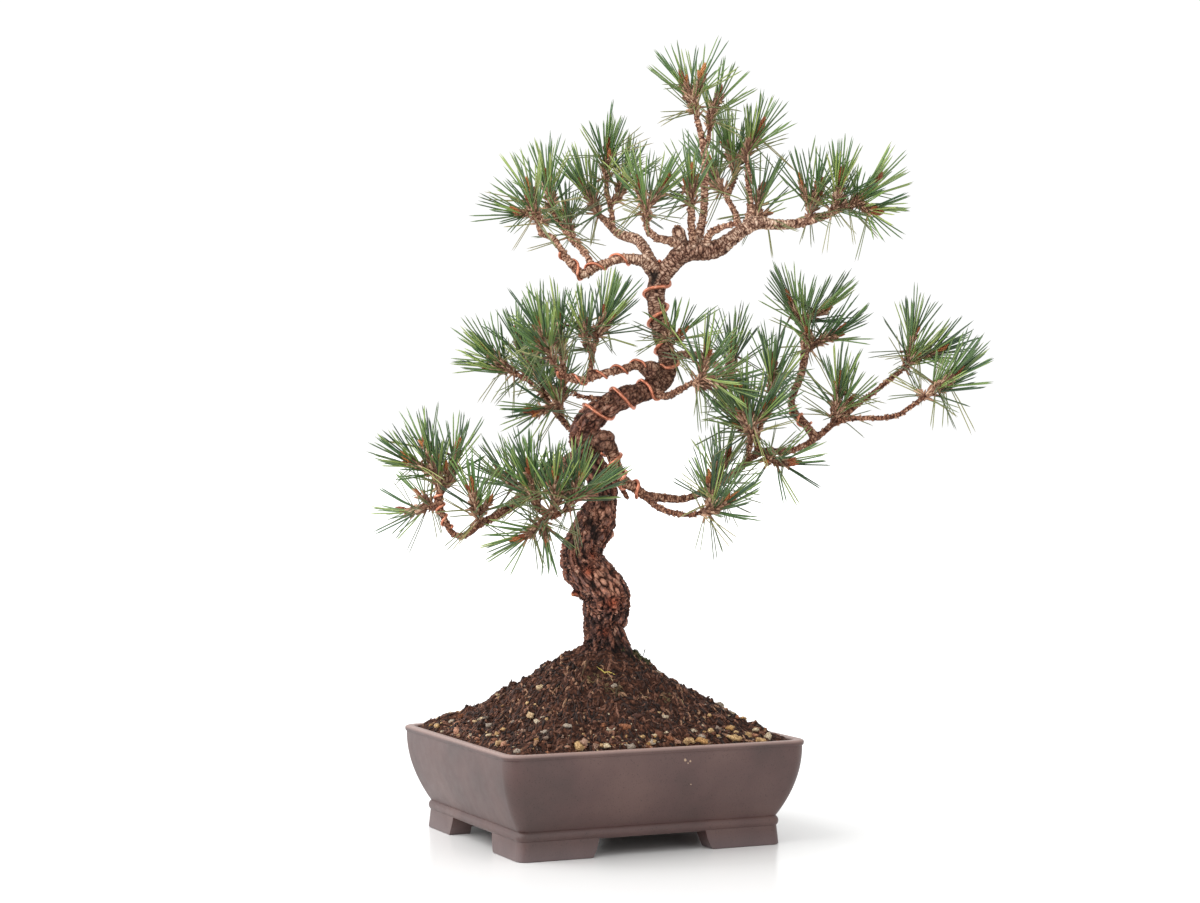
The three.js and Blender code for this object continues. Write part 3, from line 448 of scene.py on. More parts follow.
def on_mound(column, share, lift=0):
    """A place on the soil's surface: the column of its edge, and the share of the way out to it."""
    start, end = (SOIL_EDGE[(int(column) + step) % SOIL["columns"]] for step in (0, 1))
    edge = start.lerp(end, column % 1)
    round_place = edge.normalized() * SOIL["radius"] * share
    place = round_place.lerp(edge * share, share ** SOIL["squaring"])
    fade = smoothly((1 - share) / SOIL["fade"])
    bumps = sum(depth * noise.noise(place / size) for size, depth in SOIL_RELIEF)
    height = SOIL["edge"] + SOIL["rise"] * (1 - max(share, SOIL["flat_top"])) + bumps * fade + lift
    return POT_MIDDLE + place + Vector((0, 0, height))


bm = bmesh.new()
rings = [
    at_height(spaced(pot_outline(inset * MM + SOIL["wall_gap"]), SOIL["columns"]), height * MM)
    for height, inset in SOIL_WALL
]
for order in range(SOIL["rings"] + 1):
    share = 1 - (1 - SOIL["last_share"]) * order / SOIL["rings"]
    rings.append([on_mound(column, share) for column in range(SOIL["columns"])])
loft(bm, rings)
bmesh.ops.recalc_face_normals(bm, faces=bm.faces)
soil_skin = BVHTree.FromBMesh(bm)

# Composted bark and peat, damp: dark red-brown, with paler crumbs where the air has dried them. It
# is quite matt.
peat, shader = new_material("damp_bark_compost")
place = add_node(peat, "TexCoord").outputs["Object"]
crumbs = add_node(
    peat, "TexNoise", {"Vector": place, "Scale": 1 / (3.2 * MM), "Detail": 6, "Roughness": 0.65},
)
tint = add_node(
    peat, "ValToRGB", {"Fac": crumbs},
    stops=[(0.36, "#190e0a"), (0.5, "#3a231a"), (0.6, "#5a392b"), (0.74, "#7a5644")],
)
relief = add_node(peat, "Bump", {"Height": crumbs, "Strength": 0.9, "Distance": 1.4 * MM})
feed(shader, {"Base Color": tint, "Roughness": 0.95, "Specular IOR Level": 0.2, "Normal": relief})

soil = new_piece("potting_soil", to_mesh(bm, "potting_soil"), peat)
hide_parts("soil")
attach(soil, "root")


# Shreds of bark and peat fibre lie over the soil every way, each a thin tube that follows the
# surface and ends in points. Short ones are crumbs, long ones are fibres.
SHREDS = {
    "count": 5600, "length": (3, 11), "radius": (0.5, 1.7), "lift": 0.3 * MM, "seed": 7,
    "shares": (0.13, 0.85), "outermost": 0.995, "bend": 1.4, "tilt": (-1.2, 1.6), "steepness": 0.35,
    "profile": (0, 0.8, 1, 0.7, 0), "unevenness": (0.75, 1.2),
}
# Green algae dust the soil: where they are thickest, and how far they reach, in mm.
ALGAE = [((-6, 139), 15), ((34, 158), 14), ((14, 130), 12), ((60, 120), 10)]


def strands(name, lines, materials, resolution=0):
    """A mesh of round tubes, closed by their pointed ends. A line has its places, its radii, the
    order of its material, and a tone and an age that its material reads. The attribute "growth"
    holds the share of the way along, the tone and the age."""
    curve = bpy.data.curves.new(name, "CURVE")
    curve.dimensions = "3D"
    curve.bevel_depth = 1
    curve.bevel_resolution = resolution
    for material in materials:
        curve.materials.append(material)
    growth = []
    for line in lines:
        count = len(line["places"])
        spline = curve.splines.new("POLY")
        spline.points.add(count - 1)
        for point, place, radius in zip(spline.points, line["places"], line["radii"]):
            point.co = (*place, 1)
            point.radius = radius
        spline.material_index = line.get("material", 0)
        spline.use_smooth = True
        for i in range(count):
            growth += [(i / (count - 1), line.get("tone", 0), line.get("age", 0))] * (4 + 2 * resolution)
    piece = bpy.data.objects.new(name, curve)
    bpy.context.scene.collection.objects.link(piece)
    mesh = settled(piece)
    attribute = mesh.attributes.new("growth", "FLOAT_VECTOR", "POINT")
    attribute.data.foreach_set("vector", np.array(growth, np.float32).ravel())
    bm = bmesh.new()
    bm.from_mesh(mesh)
    bmesh.ops.remove_doubles(bm, verts=bm.verts, dist=0.002 * MM)
    bmesh.ops.recalc_face_normals(bm, faces=bm.faces)
    bm.to_mesh(mesh)
    bm.free()
    mesh.name = name
    return mesh


def nearness(place, spot, radius):
    """How near a place is to a spot: 1 on the spot, and little beyond its radius."""
    return math.exp(-((place - spot).length / radius) ** 2)


algae = [(seen_on(soil_skin, *spot), reach * MM) for spot, reach in ALGAE]
nearest, spread = SHREDS["shares"]
draw = random.Random(SHREDS["seed"])
lines = []
for _ in range(SHREDS["count"]):
    share = nearest + spread * math.sqrt(draw.random())
    column = draw.random() * SOIL["columns"]
    length = draw.uniform(*SHREDS["length"]) * draw.random() ** 0.5 * MM + 1 * MM
    radius = draw.uniform(*SHREDS["radius"]) * MM
    heading = draw.uniform(0, 2 * math.pi)
    bend = draw.uniform(-SHREDS["bend"], SHREDS["bend"])
    tilt = draw.uniform(*SHREDS["tilt"]) * SHREDS["steepness"]
    places, radii = [], []
    for i, size in enumerate(SHREDS["profile"]):
        half = i / (len(SHREDS["profile"]) - 1) - 0.5
        along, turn = length * half, heading + bend * half
        out = share + along * math.cos(turn) / SOIL["radius"]
        if out > SHREDS["outermost"]:
            out = 2 * SHREDS["outermost"] - out
        round_by = along * math.sin(turn) / (SOIL["column_width"] * max(out, 0.2))
        place = on_mound(column + round_by, out, SHREDS["lift"])
        places.append(place + Vector((0, 0, tilt * along)))
        radii.append(radius * size * draw.uniform(*SHREDS["unevenness"]))
    greenness = max(nearness(places[2], *patch) for patch in algae)
    green = smoothly(greenness * 1.1 - draw.random() * 0.7) * 0.8
    lines.append({"places": places, "radii": radii, "tone": draw.random() ** 1.3, "age": green})


def parts_of(material, name):
    """The three numbers of an attribute."""
    vector = add_node(material, "Attribute", attribute_name=name).outputs["Vector"]
    parts = add_node(material, "SeparateXYZ", {"Vector": vector})
    return [parts.outputs[axis] for axis in "XYZ"]


# Shredded pine bark: each piece has its own brown, from nearly black when wet to foxy red and tan,
# with darker damp patches. The algae turn some of it olive.
shredded_bark, shader = new_material("shredded_bark")
_, tone, greenness = parts_of(shredded_bark, "growth")
tint = add_node(
    shredded_bark, "ValToRGB", {"Fac": tone},
    stops=[(0, "#24150f"), (0.35, "#442a20"), (0.66, "#67402f"), (0.9, "#895f4b"), (1, "#ad8668")],
)
place = add_node(shredded_bark, "TexCoord").outputs["Object"]
fibre = add_node(shredded_bark, "TexNoise", {"Vector": place, "Scale": 1 / (1.3 * MM), "Detail": 3})
damp = add_node(shredded_bark, "ValToRGB", {"Fac": fibre}, stops=[(0.35, "#6e625c"), (0.6, "#ffffff")])
browns = mixed(shredded_bark, 0.9, tint, damp, "MULTIPLY")
dusted = mixed(shredded_bark, greenness, browns, "#5a4d2c")
relief = add_node(shredded_bark, "Bump", {"Height": fibre, "Strength": 0.6, "Distance": 0.5 * MM})
feed(shader, {"Base Color": dusted, "Roughness": 0.72, "Specular IOR Level": 0.35, "Normal": relief})

shreds = new_piece("bark_shreds", strands("bark_shreds", lines, [shredded_bark]))
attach(shreds, "root")


# Pebbles of pumice and baked clay are mixed into the soil, most of them washed down to the rim.
# Each is a lump with rough sides, sunk by a third. They are thickest along the pot's long front.
PEBBLES = {
    "count": 520, "radius": (0.9, 4.7), "smallness": 2.4, "long": (1, 1.6), "flat": (0.5, 0.9),
    "shares": (0.25, 0.725), "least": 0.035, "crowding": 9, "front": -40 * MM, "elsewhere": 0.5,
    "rise": 0.3, "facets": (1.1, 0.3), "lumps": (1.7, 0.6), "wear": 0.12, "seed": 4,
}
ANY_TURN = (0, 6.3)

draw = random.Random(PEBBLES["seed"])
nearest, spread = PEBBLES["shares"]
smallest, largest = PEBBLES["radius"]
(facet, facet_depth), (lump, lump_depth) = PEBBLES["facets"], PEBBLES["lumps"]
bm = bmesh.new()
tone = bm.verts.layers.float.new("tone")
placed = 0
while placed < PEBBLES["count"]:
    share = nearest + spread * math.sqrt(draw.random())
    column = draw.random() * SOIL["columns"]
    radius = (smallest + (largest - smallest) * draw.random() ** PEBBLES["smallness"]) * MM
    place = on_mound(column, share)
    at_front = place.y - POT_MIDDLE.y < PEBBLES["front"]
    chance = share ** PEBBLES["crowding"] * (1 if at_front else PEBBLES["elsewhere"])
    if draw.random() > PEBBLES["least"] + chance:
        continue
    size = Vector([draw.uniform(*PEBBLES[side]) * radius for side in ("long", "flat", "flat")])
    turn = Matrix.Rotation(draw.uniform(*ANY_TURN), 4, "Z")
    tip = Matrix.Rotation(draw.uniform(-0.5, 0.5), 4, "X")
    at = Matrix.Translation(place + Vector((0, 0, radius * PEBBLES["rise"])))
    stone = at @ turn @ tip @ Matrix.Diagonal((*size, 1))
    verts = bmesh.ops.create_icosphere(bm, subdivisions=2, radius=1, matrix=stone)["verts"]
    kind = draw.random()
    chip = Vector([draw.uniform(-50, 50) for _ in range(3)])
    for vert in verts:
        around = (vert.co - stone.translation) / radius
        rough = noise.cell(around * facet + chip) * facet_depth
        rough += noise.noise(around * lump + chip) * lump_depth
        vert.co += (vert.co - stone.translation) * (rough - PEBBLES["wear"])
        vert[tone] = kind
    placed += 1

# Pumice is a froth of volcanic glass, cream to grey-white and pitted. The baked clay is yellow-tan
# to brown. Every stone has its own colour, stained darker in its pits.
pumice, shader = new_material("pumice_and_baked_clay")
kind = add_node(pumice, "Attribute", attribute_name="tone").outputs["Fac"]
place = add_node(pumice, "TexCoord").outputs["Object"]
body = add_node(
    pumice, "ValToRGB", {"Fac": kind},
    stops=[
        (0, "#dcc294"), (0.2, "#bd9560"), (0.36, "#dccfb2"), (0.5, "#b3aba1"), (0.6, "#8f857d"),
        (0.7, "#c59882"), (0.82, "#935f40"), (1, "#54342a"),
    ],
)
pits = add_node(
    pumice, "TexNoise", {"Vector": place, "Scale": 1 / (1.1 * MM), "Detail": 4, "Roughness": 0.6},
)
stain = add_node(
    pumice, "ValToRGB", {"Fac": pits},
    stops=[(0.34, "#5d4636"), (0.5, "#cdbba6"), (0.62, "#ffffff")],
)
tint = mixed(pumice, 0.85, body, stain, "MULTIPLY")
relief = add_node(pumice, "Bump", {"Height": pits, "Strength": 0.7, "Distance": 0.5 * MM})
feed(shader, {"Base Color": tint, "Roughness": 0.9, "Normal": relief})

pebbles = new_piece("pumice_pebbles", to_mesh(bm, "pumice_pebbles"), pumice)
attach(pebbles, "root")


# Moss grows against the trunk's foot, with one bare stalk in it, and a few rootlets lie bare on the
# soil. The moss is tufts of soft shoots, and the rootlets are thin cords. Places are mm across and up,
# where they are seen.
MOSS = {
    "spots": [((30, 163), 5), ((36, 158), 6), ((43, 152), 4), ((22, 161), 3)], "spread": 0.45,
    "shoots": 80, "length": (1.2, 3.6), "radius": 0.3 * MM, "lean": (-0.6, 0.6), "seed": 5,
    "profile": [(-0.3, 0), (0.2, 1), (0.7, 0.8), (1, 0)],
}
STALK = {"route": [(37.5, 156), (38.3, 159), (39.5, 163)], "radii": (0, 0.35, 0.3, 0.55, 0)}
ROOTLETS = [
    [(-3, 147.5), (4.4, 141.9), (8, 142.8), (15, 139.2)],
    [(4, 144), (9, 139), (12, 133)],
    [(47, 149), (52, 143), (57, 137)],
    [(35, 125), (38, 121), (44, 120)],
    [(-34, 131), (-40, 127), (-42, 121)],
    [(66, 121), (72, 118), (75, 112)],
]
# The first rootlet is the thickest and the freshest. Tones are those of its skin's ramp.
ROOTLET = {"steps": 6, "wander": (-0.4, 0.4), "lift": 0.9, "radius": 0.45, "tones": (0.1, 0.7)}
FIRST_ROOTLET = {"radius": 0.62, "tone": 0.9}


def blade(start, direction, length, profile, radius, bend=Vector((0, 0, 0)), **rest):
    """A line for strands: it sets out in a direction and bends away as it goes. Its profile is
    shares of the length with shares of the radius."""
    places = [start + direction * length * share + bend * share * share for share, _ in profile]
    return {"places": places, "radii": [radius * size for _, size in profile], **rest}


draw = random.Random(MOSS["seed"])
lines = []
for spot, reach in MOSS["spots"]:
    for _ in range(MOSS["shoots"]):
        across, up = (value + draw.gauss(0, reach * MOSS["spread"]) for value in spot)
        root = seen_on(soil_skin, across, up)
        lean = Vector((draw.uniform(*MOSS["lean"]), draw.uniform(*MOSS["lean"]), 1)).normalized()
        length = draw.uniform(*MOSS["length"]) * MM
        lines.append(blade(root, lean, length, MOSS["profile"], MOSS["radius"], tone=draw.random()))
foot = STALK["route"][0]
root = seen_on(soil_skin, *foot)
stalk = [root + seen((*spot, 0)) - seen((*foot, 0)) for spot in STALK["route"]]
lines.append({
    "places": [stalk[0] - Vector((0, 0, MM)), *stalk, stalk[-1] + (stalk[-1] - stalk[-2]) * 0.3],
    "radii": [radius * MM for radius in STALK["radii"]], "tone": 0.05,
})

# Living moss: matt olive green, each shoot of its own shade, dull at the root and cleaner at the tip.
moss_green, shader = new_material("living_moss")
along, tone, _ = parts_of(moss_green, "growth")
body = add_node(
    moss_green, "ValToRGB", {"Fac": tone}, stops=[(0, "#2c2a1a"), (0.4, "#43482a"), (1, "#6d7540")],
)
tips = add_node(moss_green, "ValToRGB", {"Fac": along}, stops=[(0.2, "#6b6b5a"), (0.9, "#ffffff")])
tint = mixed(moss_green, 1.0, body, tips, "MULTIPLY")
feed(shader, {"Base Color": tint, "Roughness": 0.8})

moss = new_piece("moss_tufts", strands("moss_tufts", lines, [moss_green]))
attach(moss, "root")

lines = []
for order, route in enumerate(ROOTLETS):
    places = []
    for start, end in zip(route, route[1:]):
        for step in range(ROOTLET["steps"]):
            across, up = (
                a + (b - a) * step / ROOTLET["steps"] + draw.uniform(*ROOTLET["wander"])
                for a, b in zip(start, end)
            )
            places.append(seen_on(soil_skin, across, up) + Vector((0, 0, ROOTLET["lift"])) * MM)
    looks = ROOTLET | {"tone": draw.uniform(*ROOTLET["tones"])} if order else FIRST_ROOTLET
    swell = [math.sin(math.pi * (i + 0.3) / len(places)) ** 0.5 for i in range(len(places))]
    swell[0] = swell[-1] = 0
    radii = [looks["radius"] * MM * size for size in swell]
    lines.append({"places": places, "radii": radii, "tone": looks["tone"]})

# Bare young roots: waxy straw yellow where they are fresh, buff where they have dried.
root_skin, shader = new_material("bare_rootlet")
_, tone, _ = parts_of(root_skin, "growth")
tint = add_node(
    root_skin, "ValToRGB", {"Fac": tone}, stops=[(0.1, "#7b5c43"), (0.6, "#a88d63"), (0.95, "#b9a54c")],
)
feed(shader, {"Base Color": tint, "Roughness": 0.6})

rootlets = new_piece("rootlets", strands("rootlets", lines, [root_skin], resolution=1))
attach(rootlets, "root")


# The wood is the trunk with every branch, stub and twig, grown as one piece. The trunk was bent in
# two tight curves when young and has thick plated bark. The branches and the younger trunk are
# covered with the scars of old needles. Each limb's points are mm across, up and away, and its
# radius there. A loft goes along each limb, and all of them are melted together.
LIMBS = {
    "trunk": [
        [4, 112, 0, 13], [4, 135, 0, 19], [5, 152, 0, 24], [4, 167, 0, 20.5], [2, 183, 0, 17.5],
        [5, 197, -2, 20], [6, 208, -4, 21.5], [0, 219, -5, 21], [-9, 230, -6, 20], [-17, 241, -4, 18],
        [-15, 252, 0, 18.5], [-10, 263, 3, 18], [-4, 276, 5, 17.5], [2, 293, 3, 13.5],
        [1, 309, 2, 12.5], [-5, 322, 2, 11.5], [-13, 337, 2, 11.5], [-16, 350, 0, 12],
        [-10, 364, -3, 12], [3, 375, -6, 11], [19, 384, -8, 10], [42, 391, -5, 9], [53, 398, -2, 9],
        [59, 409, 0, 8.5], [58, 425, 0, 8], [54, 440, 0, 8], [50, 462, 0, 8.5], [49, 479, 0, 8.5],
        [55, 492, -1, 8], [63, 502, -3, 8], [72, 511, -6, 9], [83, 514, -9, 9], [93, 514, -10, 9],
        [104, 516, -10, 8], [116, 525, -8, 6.5], [126, 532, -4, 6], [137, 538, 0, 6],
        [151, 537, 4, 5], [166, 537, 8, 4.5], [180, 539, 10, 4], [201, 546, 4, 3.5],
        [216, 552, 0, 2.5],
    ],
    "lowLeft": [
        [-11, 339, 2, 8], [-30, 326, -14, 7], [-48, 315, -28, 6], [-63, 302, -38, 5.5],
        [-77, 290, -42, 4.5], [-91, 281, -44, 4], [-105, 274, -44, 3.5], [-121, 263, -40, 3],
        [-130, 266, -38, 3], [-135, 274, -37, 3], [-140, 285, -36, 3], [-141, 295, -35, 3.5],
        [-140, 304, -35, 3.5],
    ],
    "lowLeftFront": [[-62, 304, -36, 3.5], [-55, 288, -54, 3], [-42, 280, -68, 3], [-33, 285, -72, 2.5]],
    "midLeftBack": [
        [-15, 356, 0, 4], [-25, 357, 12, 3], [-34, 366, 22, 3], [-41, 375, 32, 3],
        [-48, 385, 42, 2.5], [-62, 399, 52, 2.5], [-76, 407, 58, 2.3],
    ],
    "midLeft": [
        [45, 407, -4, 7], [33, 413, -22, 4], [17, 409, -32, 3.5], [3, 406, -40, 3.5],
        [-9, 402, -44, 3.5], [-19, 400, -46, 3.5], [-33, 405, -48, 3], [-41, 416, -50, 2.5],
    ],
    "midLeftUp": [[-9, 403, -44, 3], [-8, 413, -45, 2.5], [-6, 425, -46, 2.5], [-4, 435, -47, 2.5]],
    "midLeftLow": [[14, 381, -8, 3.5], [3, 384, -22, 2.5], [-11, 385, -34, 2], [-24, 388, -40, 2]],
    "topLeft": [
        [50, 490, 0, 7], [40, 504, -4, 6], [32, 506, -7, 5], [18, 507, -12, 4], [6, 503, -16, 4],
        [-5, 499, -20, 4], [-15, 493, -24, 4.5], [-23, 500, -27, 4], [-30, 508, -29, 3.5],
        [-36, 518, -31, 3], [-43, 526, -33, 3], [-51, 529, -35, 3], [-54, 537, -35, 3],
    ],
    "topLeftUp": [
        [-8, 498, -20, 3], [-10, 507, -10, 3], [-16, 515, 0, 3], [-25, 524, 6, 3],
        [-35, 538, 12, 2.5], [-42, 549, 14, 2.3],
    ],
    "topBack": [
        [48, 497, 0, 6], [40, 514, 12, 5], [32, 524, 20, 5], [20, 527, 28, 4.5], [12, 532, 34, 3.5],
        [5, 539, 40, 3], [-1, 545, 44, 2.5],
    ],
    "topBackUp": [[11, 531, 34, 3], [11, 543, 38, 2.5], [7, 560, 41, 2.5], [5, 576, 43, 2.3]],
    "topFront": [
        [75, 514, -8, 4], [62, 522, -20, 4], [48, 526, -28, 3.5], [41, 534, -34, 3],
        [40, 541, -37, 2.5],
    ],
    "topFrontShoot": [[82, 514, -12, 4], [81, 529, -22, 3.5], [80, 542, -27, 3.5], [80, 553, -28, 3.5]],
    "apex": [
        [83, 516, -8, 5.5], [89, 536, -2, 4], [91, 549, 2, 3.5], [92, 580, 4, 3.5],
        [91, 602, 4, 3], [89, 614, 3, 3], [86, 626, 1, 3], [84, 634, 0, 2.5],
    ],
    "apexTwig": [[90, 602, 4, 2.5], [95, 611, 10, 2.5], [96, 622, 14, 2.3]],
    "rightUpper": [
        [127, 533, -4, 4], [132, 548, 6, 3.5], [131, 564, 14, 3], [130, 580, 20, 3],
        [129, 592, 24, 2.5],
    ],
    "rightUpperBack": [
        [123, 530, -4, 3.5], [120, 542, 12, 3], [116, 552, 24, 3], [112, 560, 34, 2.5],
        [115, 569, 42, 2.5], [119, 579, 46, 2.3],
    ],
    "rightUpperFront": [[91, 514, -10, 4], [97, 529, -24, 3.5], [109, 535, -32, 3], [122, 538, -36, 2.5]],
    "lowRight": [
        [-11, 340, 0, 9], [1, 346, -14, 9], [9, 340, -20, 6.5], [13, 328, -22, 5.5],
        [18, 314, -22, 5.5], [30, 306, -22, 4.5], [40, 299, -22, 4.5], [51, 297, -22, 4],
        [62, 296, -22, 4], [75, 296, -22, 3.5], [86, 300, -22, 3.5], [100, 307, -22, 3.5],
        [113, 315, -22, 3.5], [124, 324, -22, 3.5], [134, 333, -22, 3.5], [146, 338, -18, 3.5],
        [157, 337, -10, 3.5], [170, 339, -2, 3], [180, 343, 4, 3], [191, 350, 8, 3],
        [204, 361, 12, 3], [216, 370, 14, 3], [228, 380, 16, 2.5], [240, 389, 18, 2.5],
        [251, 398, 20, 2.5], [264, 408, 22, 2.5],
    ],
    "lowRightStub": [[2, 347, -12, 8.5], [4, 347, -20, 9.5], [4, 347, -31, 9]],
    "lowRightFront": [
        [40, 299, -22, 3.5], [47, 291, -36, 3], [59, 285, -50, 3], [74, 282, -60, 2.5],
        [88, 283, -66, 2.3],
    ],
    "farRight": [
        [205, 362, 12, 3], [218, 366, 0, 2.5], [231, 367, -12, 2.5], [247, 367, -24, 2.5],
        [261, 369, -32, 2.5], [272, 376, -36, 2.5], [283, 384, -40, 2.5],
    ],
    "riser": [
        [189, 349, 7, 4], [180, 362, 16, 4], [172, 370, 24, 3.5], [168, 380, 30, 3.5],
        [171, 391, 36, 3.5], [177, 406, 44, 3.5], [180, 424, 50, 4], [179, 439, 54, 4],
    ],
    "rightInner": [[138, 335, -21, 3], [138, 349, -14, 2.5], [143, 365, -6, 2.5], [148, 381, 0, 2.3]],
    "rightFront": [[130, 329, -22, 3], [131, 339, -38, 2.5], [133, 348, -50, 2.5]],
    "backRight": [
        [59, 414, 2, 5.5], [70, 422, 22, 4], [82, 422, 38, 3.5], [94, 419, 52, 3.5],
        [104, 411, 64, 3.5], [110, 404, 72, 3],
    ],
    "frontRight": [[48, 391, -6, 4.5], [57, 386, -24, 3.5], [69, 391, -44, 3], [81, 398, -58, 2.5]],
    "knob": [[48, 407, -2, 8], [45, 409, -12, 8.5], [44, 410, -21, 7]],
    "topKnob": [[72, 519, -6, 6], [69, 529, -13, 6], [68, 531, -20, 5.5]],
    "deadStub": [[3, 323, -4, 4], [11, 319, -13, 3], [18, 307, -14, 3], [25, 295, -13, 2]],
    "trunkStub": [[-7, 210, -5, 3.4], [-18, 211, -11, 2.8], [-25, 213, -15, 2.7]],
}
# Low ridges where the roots leave the trunk's foot.
ROOTS = {
    "rootRight": [[10, 188, -8, 8], [17, 172, -12, 6.5], [24, 160, -14, 5], [32, 150, -15, 3.5]],
    "rootLeft": [[-3, 172, -6, 9], [-10, 162, -10, 6], [-17, 152, -12, 4]],
    "rootBack": [[6, 176, 8, 8], [12, 164, 18, 6], [15, 153, 27, 4]],
    "rootFront": [[3, 170, -10, 8], [2, 160, -17, 5.5], [2, 151, -24, 3.5]],
}
SPAN_STEPS = 12


class Path:
    """A smooth path through points, with a radius at each of them."""

    def __init__(self, points, radii):
        points = [np.array(point) for point in points]
        guides = [2 * points[0] - points[1], *points, 2 * points[-1] - points[-2]]
        places = []
        for before, start, end, after in zip(guides, guides[1:], guides[2:], guides[3:]):
            gaps = [np.linalg.norm(b - a) ** 0.5 for a, b in ((before, start), (start, end), (end, after))]
            chord = (end - start) / gaps[1]
            leave = (start - before) / gaps[0] - (end - before) / (gaps[0] + gaps[1]) + chord
            arrive = chord - (after - start) / (gaps[1] + gaps[2]) + (after - end) / gaps[2]
            for step in range(SPAN_STEPS):
                t = step / SPAN_STEPS
                places.append(
                    (2 * t ** 3 - 3 * t ** 2 + 1) * start + (3 * t ** 2 - 2 * t ** 3) * end
                    + (t ** 3 - 2 * t ** 2 + t) * leave * gaps[1] + (t ** 3 - t ** 2) * arrive * gaps[1]
                )
        self.places = np.array([*places, points[-1]])
        self.radii = np.interp(np.arange(len(self.places)) / SPAN_STEPS, np.arange(len(radii)), radii)
        steps = np.linalg.norm(np.diff(self.places, axis=0), axis=1)
        self.lengths = np.concatenate([[0], np.cumsum(steps)])
        self.length = self.lengths[-1]

    def length_at(self, knot):
        """The length up to one of the points, or up to a place between two."""
        return float(np.interp(knot * SPAN_STEPS, np.arange(len(self.lengths)), self.lengths))

    def place(self, lengths):
        return np.stack([np.interp(lengths, self.lengths, axis) for axis in self.places.T], -1)

    def sections(self, lengths):
        """Middles, radii, tangents, normals and binormals at the given lengths. Each section is
        turned as little as can be from the one before."""
        nudge = 0.2 * MM
        lengths = np.asarray(lengths, float)
        ahead, behind = np.minimum(lengths + nudge, self.length), np.maximum(lengths - nudge, 0)
        tangents = self.place(ahead) - self.place(behind)
        tangents /= np.linalg.norm(tangents, axis=1)[:, None]
        normals, normal = [], np.cross(tangents[0][[2, 0, 1]], tangents[0])
        for tangent in tangents:
            normal = normal - normal.dot(tangent) * tangent
            normal /= np.linalg.norm(normal)
            normals.append(normal)
        normals = np.array(normals)
        radii = np.interp(lengths, self.lengths, self.radii)
        return self.place(lengths), radii, tangents, normals, np.cross(tangents, normals)


def limb_path(points):
    return Path([seen(point) for point in points], [point[3] * MM for point in points])


def rings_along(path, lengths, columns, unevenness=0.0):
    """Rings round a path. The unevenness is the share of the radius by which the skin swells and
    shrinks, in lobes that wander as they go along."""
    middles, radii, _, normals, binormals = path.sections(lengths)
    rings = []
    for middle, radius, normal, binormal, length in zip(middles, radii, normals, binormals, lengths):
        ring = []
        for column in range(columns):
            turn = 2 * math.pi * column / columns
            around = Vector(normal * math.cos(turn) + binormal * math.sin(turn))
            lobes = noise.noise(around * 1.3 + Vector((0, 0, length / (radius * 2.2))))
            ring.append(Vector(middle) + around * radius * (1 + unevenness * lobes))
        rings.append(ring)
    return rings


def stepped(first, last, step):
    return np.linspace(first, last, max(2, round((last - first) / step) + 1))


limbs = {name: limb_path(points) for name, points in (LIMBS | ROOTS).items()}


